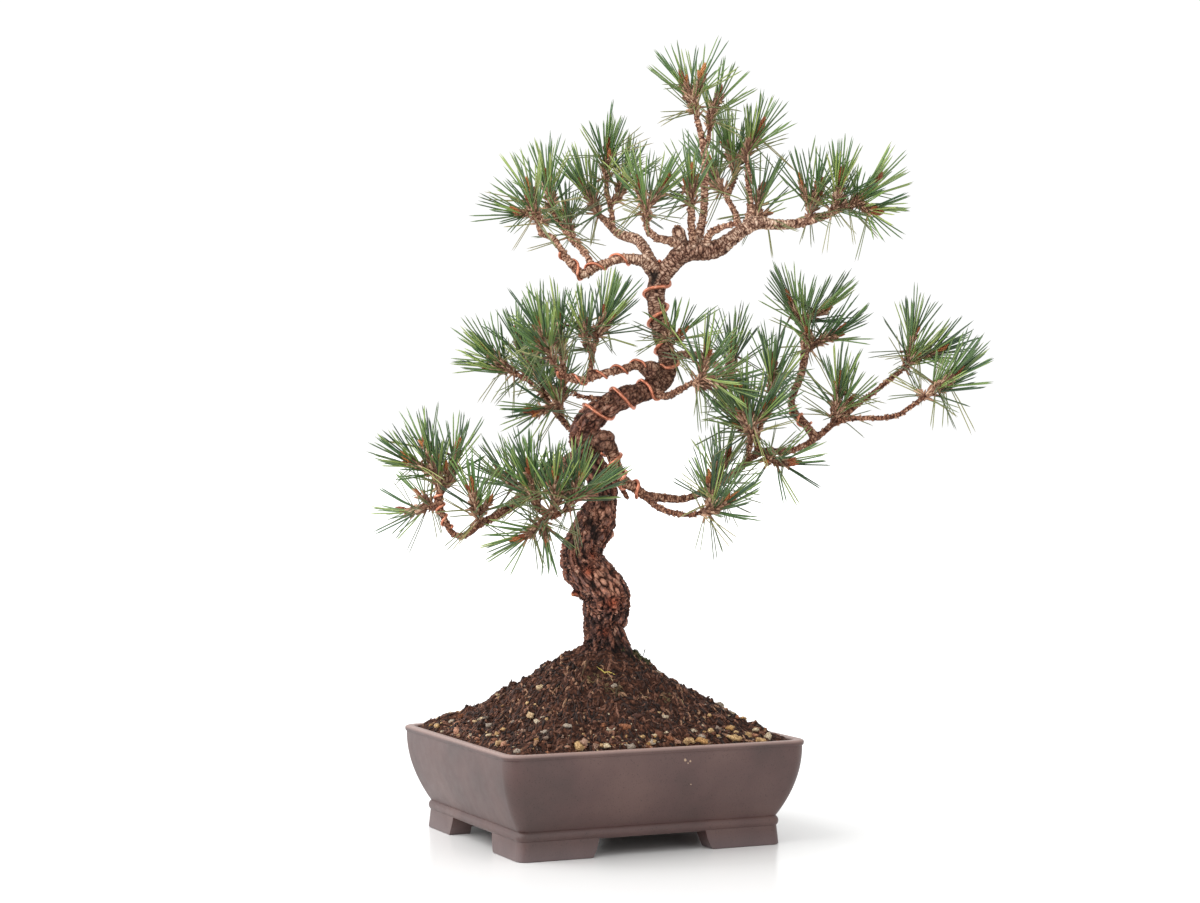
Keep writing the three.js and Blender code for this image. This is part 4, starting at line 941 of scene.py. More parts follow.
# A spray stands at the end of each twig. Its list gives where the twig leaves the wood, where its
# stem begins, the tips of its stem, and a measure of how many needles it has.
SPRAYS = {
    "apex_left": ([85, 630, 0], [84, 641, -3], [[74, 660, -10], [89, 664, 2]], 17),
    "apex_right": ([96, 620, 14], [97, 630, 17], [[104, 648, 22]], 11),
    "upper_right": ([129, 590, 23], [129, 599, 26], [[139, 616, 28]], 11),
    "upper_right_left": ([119, 577, 46], [118, 586, 48], [[112, 605, 52]], 10),
    "upper_right_back": ([112, 560, 34], [105, 571, 46], [[98, 587, 60]], 8),
    "upper_right_low": ([137, 538, 0], [137, 548, 14], [[142, 565, 26]], 8),
    "top_right_left": ([183, 540, 9], [185, 548, 12], [[178, 569, 16], [192, 567, 8]], 14),
    "top_right_middle": ([201, 546, 4], [206, 553, -4], [[211, 574, -14]], 12),
    "top_right_end": ([213, 551, 1], [221, 555, -1], [[239, 569, 4], [238, 547, -16]], 13),
    "top_left_end": ([-54, 535, -35], [-54, 543, -36], [[-61, 562, -34], [-70, 546, -52]], 13),
    "top_left_up": ([-41, 547, 14], [-44, 555, 16], [[-47, 574, 18]], 9),
    "top_left_back": ([-23, 522, 5], [-26, 530, 18], [[-30, 546, 34]], 8),
    "top_back_left": ([0, 543, 43], [-4, 551, 48], [[-14, 569, 52]], 10),
    "top_back_up": ([5, 573, 43], [5, 581, 44], [[6, 601, 44]], 10),
    "top_back_right": ([8, 552, 39], [16, 561, 46], [[23, 580, 56]], 8),
    "top_front": ([40, 538, -36], [41, 547, -38], [[35, 567, -40], [54, 568, -38]], 14),
    "top_twig": ([80, 551, -28], [81, 559, -29], [[81, 575, -32]], 7),
    "mid_left_end": ([-73, 405, 57], [-80, 410, 60], [[-95, 420, 62]], 11),
    "mid_left_back": ([-62, 399, 52], [-64, 409, 62], [[-72, 434, 76]], 11),
    "mid_left_centre": ([-46, 383, 40], [-49, 393, 34], [[-56, 414, 26]], 11),
    "mid_left_inner": ([-34, 366, 22], [-35, 377, 14], [[-32, 398, 8], [-54, 372, 4]], 12),
    "mid_left_front": ([-40, 413, -50], [-43, 423, -52], [[-52, 444, -56]], 13),
    "mid_left_top": ([-33, 405, -48], [-33, 422, -38], [[-37, 451, -30]], 10),
    "mid_centre_left": ([-6, 423, -46], [-10, 432, -50], [[-15, 451, -56]], 8),
    "mid_centre_right": ([-4, 433, -47], [-2, 442, -47], [[5, 459, -46]], 9),
    "far_left_up": ([-140, 301, -35], [-143, 312, -38], [[-153, 342, -32], [-167, 328, -54]], 19),
    "far_left_inner": ([-140, 300, -35], [-133, 311, -28], [[-125, 338, -16]], 10),
    "far_left_low": ([-141, 292, -35], [-150, 289, -30], [[-167, 284, -20]], 7),
    "low_left_knee": ([-105, 274, -44], [-108, 282, -52], [[-112, 302, -64]], 9),
    "low_left_out": ([-60, 305, -36], [-68, 304, -26], [[-84, 314, -12]], 11),
    "low_left_up": ([-53, 287, -57], [-55, 297, -62], [[-61, 319, -72]], 12),
    "low_left_front": ([-34, 284, -72], [-26, 291, -75], [[-20, 314, -82], [-8, 302, -68]], 15),
    "low_left_middle": ([-42, 280, -68], [-40, 289, -78], [[-40, 312, -92]], 9),
    "low_left_down": ([-45, 281, -66], [-52, 274, -74], [[-67, 261, -84]], 8),
    "front_right": ([80, 397, -57], [87, 400, -63], [[93, 422, -70], [111, 395, -68]], 16),
    "trunk_right": ([56, 431, 0], [62, 435, -14], [[72, 440, -32]], 7),
    "back_right": ([109, 404, 71], [115, 408, 78], [[117, 430, 86]], 10),
    "middle_right": ([148, 380, 0], [150, 390, 3], [[152, 413, 6]], 10),
    "right_front": ([133, 346, -48], [134, 355, -54], [[127, 379, -62], [146, 372, -58]], 16),
    "right_inner": ([138, 348, -15], [132, 356, -16], [[116, 372, -14]], 9),
    "right_low": ([144, 338, -18], [151, 331, -26], [[165, 326, -36]], 6),
    "riser_top": ([179, 436, 53], [179, 446, 56], [[168, 466, 62], [197, 462, 50]], 16),
    "riser_side": ([179, 422, 49], [188, 432, 44], [[207, 440, 34]], 8),
    "right_rise": ([204, 361, 12], [207, 371, 8], [[210, 393, 4]], 12),
    "far_right_up": ([262, 406, 22], [270, 416, 22], [[275, 441, 28], [295, 424, 6]], 20),
    "far_right_end": ([281, 382, -39], [290, 390, -42], [[312, 404, -44]], 13),
    "low_right_end": ([86, 283, -65], [94, 285, -67], [[112, 292, -72], [96, 308, -58]], 17),
    "low_right_top": ([99, 307, -22], [104, 314, -16], [[111, 330, -6]], 8),
}
TWIG = {"radius": 2.1 * MM, "base_radius": 2.7 * MM, "tip_radius": 2.3 * MM, "fork": 0.2}

shoots = {
    name: Path(
        [seen(start), seen(base), seen(tips[0])],
        [TWIG["radius"], TWIG["base_radius"], TWIG["tip_radius"]],
    )
    for name, (start, base, tips, _) in SPRAYS.items()
}

WOOD = {
    "step": 3 * MM, "columns": 20, "voxel": 1.65 * MM, "lobes": 0.16, "smoothing": 2,
    "fine_girth": 12 * MM, "blend": 1.2 * MM, "shoot_columns": 12, "sample_step": 2.5 * MM,
    "batch": 2000,
}
# The bark's relief in mm: the creases of the old wood with the flakes between them, and the scars of
# the young, by their sizes across and along the limb. Young and old are the girths between which
# the one passes into the other. The relief fades on limbs under the full radius. Each limb's pattern
# is shifted, so that no two are alike.
BARK = {
    "crease": (6, 11), "crease_depth": 4.2, "crease_top": 0.75, "flake": (3.1, 5.6), "flake_rise": 1.3,
    "flake_warp": 0.7, "flake_edge": 0.16, "scar": (8, 2.8), "scar_depth": 0.8, "scar_warp": 0.3,
    "scar_edge": 0.34, "young": 8.5, "old": 13, "full_radius": 6 * MM, "shift": 310 * MM,
    "roughness": [(2.1 * MM, 0.5), (6 * MM, 0.7)], "seed": 6,
}
# Hollows where limbs were lost or the bark has split, with painted shade in them, and patches rubbed
# pale or freshly red: mm across and up where they are seen, their radii, and the depths of the hollows.
HOLLOWS = [
    ((-2, 263), 7, 5), ((-10, 276), 5.5, 3), ((-5, 270), 5.5, 3), ((47, 492), 7, 1.2), ((16, 173), 4.5, 3.5),
    ((19, 166), 4.5, 3), ((2, 250), 4, 1.5), ((46, 487), 5, 0.5), ((26, 161), 5, 1), ((31, 154), 4, 1),
]
PALE_PATCHES = [((-2, 229), 6), ((3, 224), 5), ((0, 283), 7), ((12, 214), 5)]
RED_PATCHES = [((11, 204), 7), ((-10, 232), 5), ((-7, 246), 4), ((4, 178), 4), ((-23, 212), 4)]

bm = bmesh.new()
for path in limbs.values():
    loft(bm, rings_along(path, stepped(0, path.length, WOOD["step"]), WOOD["columns"], WOOD["lobes"]))
for path in shoots.values():
    loft(bm, rings_along(path, stepped(0, path.length_at(1), WOOD["step"]), WOOD["shoot_columns"]))
bmesh.ops.recalc_face_normals(bm, faces=bm.faces)
wood = new_piece("wood_blank", to_mesh(bm, "wood_blank"))
wood_mesh = modified(wood, "REMESH", mode="VOXEL", voxel_size=WOOD["voxel"])

bm = bmesh.new()
bm.from_mesh(wood_mesh)
for _ in range(WOOD["smoothing"]):
    bmesh.ops.smooth_vert(bm, verts=bm.verts, factor=0.5, use_axis_x=True, use_axis_y=True, use_axis_z=True)

# Each vertex is given its place along the limb that it lies on, as if the limb were straight, so
# that the bark follows every bend.
samples = {"middle": [], "radius": [], "tangent": [], "normal": [], "binormal": [], "length": [], "girth": []}
for order, (name, path) in enumerate([*limbs.items(), *shoots.items()]):
    lengths = stepped(0, path.length, WOOD["sample_step"])
    for kind, values in zip(("middle", "radius", "tangent", "normal", "binormal"), path.sections(lengths)):
        samples[kind].append(values)
    samples["length"].append(lengths + order * BARK["shift"])
    # A root's bark is as old as the trunk's, however thin the root is.
    samples["girth"].append(np.maximum(samples["radius"][-1], BARK["old"] * MM if name in ROOTS else 0))
samples = {kind: np.concatenate(values) for kind, values in samples.items()}


def on_limbs(places):
    """For each place, its straightened place on its limb, the girth of the wood round it, and the
    radius of the limb itself."""
    straight, girths, radii = [], [], []
    for part in np.array_split(places, max(1, len(places) // WOOD["batch"])):
        apart = np.linalg.norm(part[:, None] - samples["middle"][None], axis=2)
        misfit = np.abs(apart - samples["radius"][None])
        best = misfit.argmin(axis=1)
        offset = part - samples["middle"][best]
        straight.append(np.stack([
            (offset * samples["normal"][best]).sum(1),
            (offset * samples["binormal"][best]).sum(1),
            (offset * samples["tangent"][best]).sum(1) + samples["length"][best],
        ], 1))
        weights = np.exp(-misfit / WOOD["blend"]) * samples["radius"][None]
        girths.append((weights * samples["girth"][None]).sum(1) / weights.sum(1))
        radii.append(samples["radius"][best])
    return np.concatenate(straight), np.concatenate(girths), np.concatenate(radii)


_, girths, _ = on_limbs(np.array([vert.co for vert in bm.verts]))
thick = {vert for vert, girth in zip(bm.verts, girths) if girth > WOOD["fine_girth"]}
fine = [edge for edge in bm.edges if edge.verts[0] in thick and edge.verts[1] in thick]
bmesh.ops.subdivide_edges(bm, edges=fine, cuts=1, use_grid_fill=True, smooth=0.6)
bmesh.ops.recalc_face_normals(bm, faces=bm.faces)
bm.normal_update()

grain_layer = bm.verts.layers.float_vector.new("grain")
bark_layer = bm.verts.layers.float_vector.new("bark")
patch_layer = bm.verts.layers.float_vector.new("patch")
straight, girths, radii = on_limbs(np.array([vert.co for vert in bm.verts]))
smooth_skin = BVHTree.FromBMesh(bm)
hollows = [(seen_on(smooth_skin, *spot), radius * MM, depth) for spot, radius, depth in HOLLOWS]
pale_patches = [(seen_on(smooth_skin, *spot), radius * MM) for spot, radius in PALE_PATCHES]
red_patches = [(seen_on(smooth_skin, *spot), radius * MM) for spot, radius in RED_PATCHES]


def cell_at(place, size, warp):
    """How far a straightened place lies from the edge of its cell, and a number of the cell's own."""
    at = Vector((place.x / size[0], place.y / size[0], place.z / size[1])) / MM
    at += noise.noise_vector(place / (size[0] * 1.6 * MM)) * warp
    distances, features = noise.voronoi(at)
    return distances[1] - distances[0], noise.cell(features[0] * 7) * 0.5 + 0.5


noise.seed_set(BARK["seed"])
moves = []
for vert, place, girth, radius in zip(bm.verts, straight, girths, radii):
    place = Vector(place)
    old = smoothly((girth / MM - BARK["young"]) / (BARK["old"] - BARK["young"]))
    thinness = min(1, radius / BARK["full_radius"])
    lift = height = tone = 0
    if old > 0:
        across, along = BARK["crease"]
        crease = noise.turbulence(Vector((place.x / across, place.y / across, place.z / along)) / MM, 3, True)
        flake_gap, tone = cell_at(place, BARK["flake"], BARK["flake_warp"])
        ledge = (tone - 0.5) * smoothly(flake_gap / BARK["flake_edge"]) * smoothly(crease / 0.3)
        relief = BARK["crease_depth"] * (min(crease, BARK["crease_top"]) - 0.5) + BARK["flake_rise"] * ledge
        lift += old * relief * thinness
        height += old * (0.9 * smoothly(crease / 0.55) + 0.5 * ledge)
    if old < 1:
        scar_gap, scar_tone = cell_at(place, BARK["scar"], BARK["scar_warp"])
        scar = smoothly(scar_gap / BARK["scar_edge"])
        lift += (1 - old) * BARK["scar_depth"] * (scar - 0.6) * thinness
        height += (1 - old) * scar
        tone += (1 - old) * scar_tone
    rough = sum(noise.noise(vert.co / size) * depth for size, depth in BARK["roughness"])
    lift += rough * (0.3 + 0.7 * old) * thinness
    # How far into a hollow the place lies, for the painted shade there.
    hollow_shade = 0
    for middle, reach, depth in hollows:
        share = nearness(vert.co, middle, reach)
        lift -= share * depth
        hollow_shade = max(hollow_shade, share)
    vert[grain_layer] = place
    vert[bark_layer] = (girth / MM, hollow_shade, height)
    pale = max(nearness(vert.co, *patch) for patch in pale_patches)
    red = max(nearness(vert.co, *patch) for patch in red_patches)
    vert[patch_layer] = (tone, pale, red)
    moves.append(vert.normal * lift * MM)
for vert, move in zip(bm.verts, moves):
    vert.co += move

# Old pine bark: corky flakes, grey-brown outside with foxy red and buff where they have fallen, and
# clefts darkened by their depth with painted shade. Young bark: a pinkish tan net of needle scars on
# brown, with painted shade in the grooves between the scars. Both are dead matt. The attribute "grain"
# runs along each limb, "bark" holds the girth in mm, the share of painted shade in the hollows and the
# height over the clefts, and "patch" holds each flake's tone and the pale and red patches.
PINE_BARK = {
    "fibre": 1.5 * MM, "scar": 7.5 * MM, "stain": 4 * MM, "crack": 4.2 * MM, "crack_bend": 7 * MM,
    "crack_shift": 6 * MM, "low": (480 * MM, 370 * MM), "foot": (205 * MM, 155 * MM),
}

bark, shader = new_material("pine_bark")
girth, hollow_shade, height = parts_of(bark, "bark")
tone, pale, red = parts_of(bark, "patch")
grain = add_node(bark, "Attribute", attribute_name="grain").outputs["Vector"]
place = add_node(bark, "TexCoord").outputs["Object"]
stains = add_node(
    bark, "TexNoise", {"Vector": place, "Scale": 1 / PINE_BARK["stain"], "Detail": 5, "Roughness": 0.6},
)
fibre_place = add_node(bark, "Mapping", {"Vector": grain, "Scale": (1, 1, 0.3)})
fibres = add_node(
    bark, "TexNoise",
    {"Vector": fibre_place, "Scale": 1 / PINE_BARK["fibre"], "Detail": 4, "Roughness": 0.65},
)
flake_tone = add_node(bark, "Mix", {"Factor": 0.5, "A": tone, "B": stains})
flakes = add_node(
    bark, "ValToRGB", {"Fac": flake_tone},
    stops=[(0.24, "#554643"), (0.38, "#79615e"), (0.5, "#9f776c"), (0.62, "#ba816c"), (0.78, "#dcb8a6")],
)
rubbed = mixed(bark, pale, flakes, "#dcab94")
reddened = mixed(bark, red, rubbed, "#b4644a")
# The clefts and the gaps between the flakes are darkened by their depth: painted shade.
depth = add_node(
    bark, "ValToRGB", {"Fac": height}, stops=[(0.05, "#33261f"), (0.35, "#8a776d"), (0.75, "#ffffff")],
)
old_bark = mixed(bark, 1.0, reddened, depth, "MULTIPLY")
crooked = add_node(bark, "TexNoise", {"Vector": grain, "Scale": 1 / PINE_BARK["crack_bend"], "Detail": 3})
crack_place = add_node(
    bark, "VectorMath", {0: crooked.outputs["Color"], 1: [PINE_BARK["crack_shift"]] * 3, 2: grain},
    operation="MULTIPLY_ADD",
)
drawn_out = add_node(bark, "Mapping", {"Vector": crack_place, "Scale": (1, 1, 0.42)})
cracks = add_node(
    bark, "TexVoronoi", {"Vector": drawn_out, "Scale": 1 / PINE_BARK["crack"]}, feature="DISTANCE_TO_EDGE",
)
crack_tone = add_node(
    bark, "ValToRGB", {"Fac": cracks},
    stops=[(0.0, "#54423b"), (0.05, "#a1928a"), (0.16, "#f4ece6"), (0.5, "#ffffff")],
)
old_bark = mixed(bark, 0.9, old_bark, crack_tone, "MULTIPLY")
scar_place = add_node(bark, "Mapping", {"Vector": grain, "Scale": (1, 1, 3)})
scars = add_node(
    bark, "TexVoronoi", {"Vector": scar_place, "Scale": 1 / PINE_BARK["scar"], "Randomness": 0.85},
    feature="DISTANCE_TO_EDGE",
)
net = add_node(
    bark, "ValToRGB", {"Fac": scars},
    stops=[(0.01, "#5a4037"), (0.07, "#a5806f"), (0.15, "#e2c0a8"), (0.34, "#fae3cf")],
)
# The grooves between the scars are darkened by their depth: painted shade.
scar_depth = add_node(bark, "ValToRGB", {"Fac": height}, stops=[(0.0, "#8d7568"), (0.6, "#ffffff")])
young_bark = mixed(bark, 1.0, net, scar_depth, "MULTIPLY")
# Thin twigs are foxy, the thicker limbs are older and darker, the lower limbs are darker, and the soil
# stains the trunk's foot.
height_up = add_node(bark, "SeparateXYZ", {"Vector": place}).outputs["Z"]
upper, lower = PINE_BARK["low"]
thin = add_node(bark, "MapRange", {"Value": girth, "From Min": 5.5, "From Max": 2.0, "To Max": 0.6})
low_limb = add_node(
    bark, "MapRange", {"Value": height_up, "From Min": upper, "From Max": lower, "To Max": 0.8},
)
grown = add_node(bark, "MapRange", {"Value": girth, "From Min": 5.5, "From Max": 9.5, "To Max": 0.75})
for share, tint in ((thin, "#dfae90"), (low_limb, "#b59e92"), (grown, "#a78d85")):
    young_bark = mixed(bark, 1.0, young_bark, mixed(bark, share, "#ffffff", tint), "MULTIPLY")
young_bark = mixed(bark, red, young_bark, "#c98a5c")
upper, lower = PINE_BARK["foot"]
foot = add_node(
    bark, "MapRange", {"Value": height_up, "From Min": upper, "From Max": lower, "To Max": 0.85},
)
soiled = mixed(bark, foot, "#ffffff", "#6e5d57")
old_bark = mixed(bark, 1.0, old_bark, soiled, "MULTIPLY")
oldness = add_node(
    bark, "MapRange", {"Value": girth, "From Min": BARK["young"], "From Max": BARK["old"] - 1.0},
)
ages = mixed(bark, oldness, young_bark, old_bark)
fibre_tone = add_node(
    bark, "ValToRGB", {"Fac": fibres},
    stops=[(0.33, "#8a786d"), (0.5, "#efe6df"), (0.66, "#ffffff")],
)
fibred = mixed(bark, 0.85, ages, fibre_tone, "MULTIPLY")
# The hollows are painted nearly black: painted shade.
painted_hollow_shade = add_node(bark, "MapRange", {"Value": hollow_shade, "From Min": 0.35, "From Max": 0.85, "To Max": 0.93})
surface = mixed(bark, painted_hollow_shade, fibred, "#17110f")
scarred = add_node(bark, "MapRange", {"Value": oldness, "To Min": 0.7, "To Max": 0.0})
scar_bump = add_node(bark, "Bump", {"Height": scars, "Strength": scarred, "Distance": 0.8 * MM})
crack_bump = add_node(
    bark, "Bump", {"Height": cracks, "Strength": oldness, "Distance": 1.5 * MM, "Normal": scar_bump},
)
fibre_bump = add_node(
    bark, "Bump", {"Height": fibres, "Strength": 0.8, "Distance": 0.9 * MM, "Normal": crack_bump},
)
feed(shader, {
    "Base Color": surface, "Roughness": 0.85, "Specular IOR Level": 0.25, "Normal": fibre_bump,
})

wood_skin = BVHTree.FromBMesh(bm)
wood = new_piece("pine_wood", to_mesh(bm, "pine_wood"), bark)
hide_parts("wood")
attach(wood, "root")


# Pegs are left on the younger wood by the needles and scales that have fallen from it, each a short
# stub that points up the limb. They make every branch and twig rough to the touch.
PEGS = {
    "per_mm": 0.95, "thickest": 7.5 * MM, "length": (1.6, 3.2), "radius": (0.65, 1.1), "tilt": 17, "seed": 12,
    "profile": [(0, 0), (0.2, 1), (0.8, 0.75), (1, 0)], "bare": {"trunkStub", "deadStub", *ROOTS},
    "seat": 0.82,
}
# The turn from one peg or scale to the next, as they follow each other up a pine's shoot.
SPIRAL = 2.4


def leaning(forward, outward, degrees):
    tilt = math.radians(degrees)
    return (forward * math.cos(tilt) + outward * math.sin(tilt)).normalized()


def standing_on(path, at, turn):
    """The middle of a path at a length, its radius, the way it runs, and the way out at a turn."""
    (middle,), (radius,), (forward,), (normal,), (binormal,) = path.sections([at])
    outward = normal * math.cos(turn) + binormal * math.sin(turn)
    return Vector(middle), radius, Vector(forward), Vector(outward)


draw = random.Random(PEGS["seed"])
lines = []
for path in [path for name, path in limbs.items() if name not in PEGS["bare"]] + list(shoots.values()):
    for order in range(int(PEGS["per_mm"] * path.length / MM)):
        middle, radius, forward, outward = standing_on(path, path.length * draw.random(), order * SPIRAL)
        if radius > PEGS["thickest"]:
            continue
        way = leaning(forward, outward, PEGS["tilt"] * draw.uniform(0.5, 1.6))
        root = middle + outward * radius * PEGS["seat"]
        lines.append(blade(
            root, way, draw.uniform(*PEGS["length"]) * MM, PEGS["profile"],
            draw.uniform(*PEGS["radius"]) * MM, tone=draw.random(), age=draw.random(),
        ))

# The papery scales and sheaths: thin and dry, each of its own shade from dark brown to buff.
scale_brown, shader = new_material("papery_scale")
_, tone, _ = parts_of(scale_brown, "growth")
tint = add_node(
    scale_brown, "ValToRGB", {"Fac": tone},
    stops=[(0, "#634436"), (0.4, "#8c6650"), (0.75, "#b48b70"), (1, "#cfae93")],
)
feed(shader, {"Base Color": tint, "Roughness": 0.75})

pegs = new_piece("needle_pegs", strands("needle_pegs", lines, [scale_brown]))
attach(pegs, "root")


# Training wire holds the bent limbs in shape: soft aluminium, wound on by hand in open turns. Each
# length is a round bar that follows a helix and is pressed against the bark.
WIRES = {
    "wire_trunk": {"limb": "trunk", "from": 17.6, "to": 28.6, "turns": 7.5, "start": 0.1, "radius": 1.6},
    "wire_low_right": {"limb": "lowRight", "from": 1.9, "to": 5.6, "turns": 3, "start": 0.2, "radius": 1.6},
    "wire_low_left": {"limb": "lowLeft", "from": 0.9, "to": 2.7, "turns": 2, "start": 0.6, "radius": 1.6},
    "wire_far_left": {"limb": "lowLeft", "from": 8.4, "to": 11.6, "turns": 3, "start": 0.1, "radius": 1.15},
    "wire_mid_left": {"limb": "midLeft", "from": 0.8, "to": 6.4, "turns": 4, "start": 0.3, "radius": 1.15},
    "wire_top_left": {"limb": "topLeft", "from": 1.8, "to": 8.6, "turns": 3.5, "start": 0.6, "radius": 1.15},
    "wire_riser": {"limb": "riser", "from": 0.8, "to": 2.6, "turns": 2, "start": 0.2, "radius": 1.15},
}
WINDING = {
    "steps": 30, "columns": 12, "seat": 0.05 * MM, "passes": 14, "easing": 0.5, "step": 0.9 * MM,
    "end_rounding": 0.3,
}


def winding(limb, first, last, turns, start, radius):
    """The places of a wire's middle, wound round a limb and pushed out until it lies on the bark."""
    path = limbs[limb]
    count = round(turns * WINDING["steps"])
    lengths = np.linspace(path.length_at(first), path.length_at(last), count + 1)
    middles, radii, _, normals, binormals = path.sections(lengths)
    places = []
    for i, (middle, girth, normal, binormal) in enumerate(zip(middles, radii, normals, binormals)):
        turn = 2 * math.pi * (start + i / WINDING["steps"])
        around = normal * math.cos(turn) + binormal * math.sin(turn)
        places.append(Vector(middle + around * (girth + radius)))
    for _ in range(WINDING["passes"]):
        eased = [a.lerp((b + c) / 2, WINDING["easing"]) for a, b, c in zip(places[1:], places, places[2:])]
        places = [places[0], *eased, places[-1]]
        for i, place in enumerate(places):
            skin, normal, _, apart = wood_skin.find_nearest(place)
            inside = (place - skin).dot(normal) < 0
            room = radius + WINDING["seat"]
            if inside or apart < room:
                places[i] = skin + (normal if inside else (place - skin).normalized()) * room
    return places


# Anodised aluminium, copper-coloured: a thin dyed oxide over soft metal, so it is salmon-orange,
# satin rather than bright, and rubbed paler and smoother in places by the pliers and fingers.
copper_anodised, shader = new_material("copper_anodised_aluminium")
place = add_node(copper_anodised, "TexCoord").outputs["Object"]
rubbing = add_node(copper_anodised, "TexNoise", {"Vector": place, "Scale": 1 / (3 * MM), "Detail": 5})
tint = add_node(
    copper_anodised, "ValToRGB", {"Fac": rubbing},
    stops=[(0.3, "#bd7358"), (0.55, "#d4876a"), (0.75, "#ecb299")],
)
wear = add_node(copper_anodised, "MapRange", {"Value": rubbing, "To Min": 0.42, "To Max": 0.26})
feed(shader, {"Base Color": tint, "Metallic": 0.75, "Roughness": wear})

for name, wire in WIRES.items():
    radius = wire["radius"] * MM
    places = winding(wire["limb"], wire["from"], wire["to"], wire["turns"], wire["start"], radius)
    path = Path(places, [radius] * len(places))
    bm = bmesh.new()
    lengths = stepped(0, path.length, WINDING["step"])
    rings = rings_along(path, lengths, WINDING["columns"])
    middles = path.place(lengths)
    # The cut ends are slightly rounded.
    for end in (0, -1):
        rings[end] = [place.lerp(Vector(middles[end]), WINDING["end_rounding"]) for place in rings[end]]
    loft(bm, rings)
    bmesh.ops.recalc_face_normals(bm, faces=bm.faces)
    piece = new_piece(f"copper_{name}", to_mesh(bm, name), copper_anodised)
    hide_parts(name)
    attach(piece, "root")


# Each spray is the stem of one shoot with its needles. The needles stand in pairs, each pair in a
# papery sheath, round a stem that is shingled with brown scales. The year's needles crowd towards
# the tip like an upright brush, a few old ones stand out or droop below, and candle buds stand in
# the middle. The tubes of a spray are one piece. A needle is about 1.1 mm thick, and is drawn at
# 1.4 mm so that it shows.
NEEDLE = {
    "length": 50 * MM, "shortest": 0.75, "radius": 0.68 * MM, "pairs": 2.5, "roots": (0.06, 0.93),
    "crowding": 0.85, "tilt": (54, 10), "tilt_jitter": 13, "spread": 1.3, "old": 0.15,
    "old_tilt": (55, 120), "old_girth": 0.72, "lift": 0.26, "split": (0.6, 5), "bend": (-3, 3.5),
    "sway": 4.5, "sag": (0, 5), "apart": 0.35 * MM, "strays": 7, "stray_tilt": (45, 125),
    "stray_length": 0.85, "sunlit": (440 * MM, 620 * MM), "sunny": 0.3, "seed": 20,
    "profile": [(0, 0), (0.035, 0.8), (0.4, 1), (0.88, 0.82), (1, 0)],
}
# Some shoots have lost part of their needles, and the rest spread wider. This is the share left.
THINNED = {
    "apex_left": 0.5, "apex_right": 0.5, "upper_right": 0.65, "upper_right_low": 0.7, "top_twig": 0.75,
    "top_right_left": 0.7, "top_right_middle": 0.75, "low_right_end": 0.95, "low_right_top": 0.75,
    "right_low": 0.75, "far_left_low": 0.75, "far_left_inner": 0.75, "mid_left_back": 0.8,
    "mid_centre_left": 0.75, "low_left_knee": 0.75, "trunk_right": 0.8, "low_left_down": 0.8,
}
SIDE_SHOOT = {
    "from": (0.55, 0.95), "length": (12, 18), "tilt": (35, 65), "lift": 0.35, "pairs": 0.42,
    "needles": 0.84, "bud": 0.6,
}
SHEATH = {
    "length": 10 * MM, "sizes": (0.8, 1.1), "radius": 1.15 * MM,
    "profile": [(0, 0), (0.05, 1), (0.8, 0.8), (1, 0)],
}
SCALE = {
    "per_mm": 2.2, "length": (4, 8), "radius": 1 * MM, "tilt": 26, "tilt_share": (0.4, 1.6), "seat": 0.75,
    "stem_step": 3 * MM, "below": 10 * MM,
}
# A bud's rows of scales start at a share of its length and cover most of it. Small buds stand beside
# the first.
BUD = {
    "length": 14.5 * MM, "radius": 2.7 * MM, "rows": 7, "per_row": 6, "size": (0.75, 1.1),
    "core": 0.86, "first_row": 0.04, "covered": 0.84, "seat": 0.72, "scale_length": 0.3, "scale_radius": 0.4,
    "opening": (11, -16), "beside": {"tilt": 32, "size": 0.65, "below": 2.5 * MM},
    "profile": [(0, 0), (0.02, 0.6), (0.2, 0.9), (0.45, 1), (0.7, 0.85), (0.88, 0.5), (1, 0)],
    "scale_profile": [(0, 0), (0.1, 0.8), (0.5, 1), (1, 0)],
}


def needle_pair(lines, start, direction, length, old, draw):
    """A sheath with its two needles."""
    # Needles high in the crown are pushed towards the lighter tones: painted sunlight.
    low, high = NEEDLE["sunlit"]
    sunlit = NEEDLE["sunny"] * smoothly((start.z - low) / (high - low))
    tone = sunlit + (1 - sunlit) * draw.random()
    looks = {"tone": tone, "age": draw.uniform(0.5, 1) if old else draw.uniform(0, 0.3)}
    sheath = SHEATH["length"] * draw.uniform(*SHEATH["sizes"])
    lines.append(blade(start, direction, sheath, SHEATH["profile"], SHEATH["radius"], material=1, **looks))
    aside = direction.cross(Vector([draw.gauss(0, 1) for _ in range(3)])).normalized()
    length *= draw.uniform(NEEDLE["shortest"], 1)
    sag = Vector((0, 0, -1 if old else 0.4)) * draw.uniform(*NEEDLE["sag"]) * MM
    sway = direction.cross(aside) * draw.uniform(-1, 1) * NEEDLE["sway"] * MM
    for side in (-1, 1):
        split = math.tan(math.radians(draw.uniform(*NEEDLE["split"]))) * side
        bend = aside * draw.uniform(*NEEDLE["bend"]) * side * MM + sag + sway
        root, way = start + aside * side * NEEDLE["apart"], (direction + aside * split).normalized()
        radius = NEEDLE["radius"] * (NEEDLE["old_girth"] if old else 1)
        reach = length * draw.uniform(0.95, 1)
        lines.append(blade(root, way, reach, NEEDLE["profile"], radius, bend, material=0, **looks))


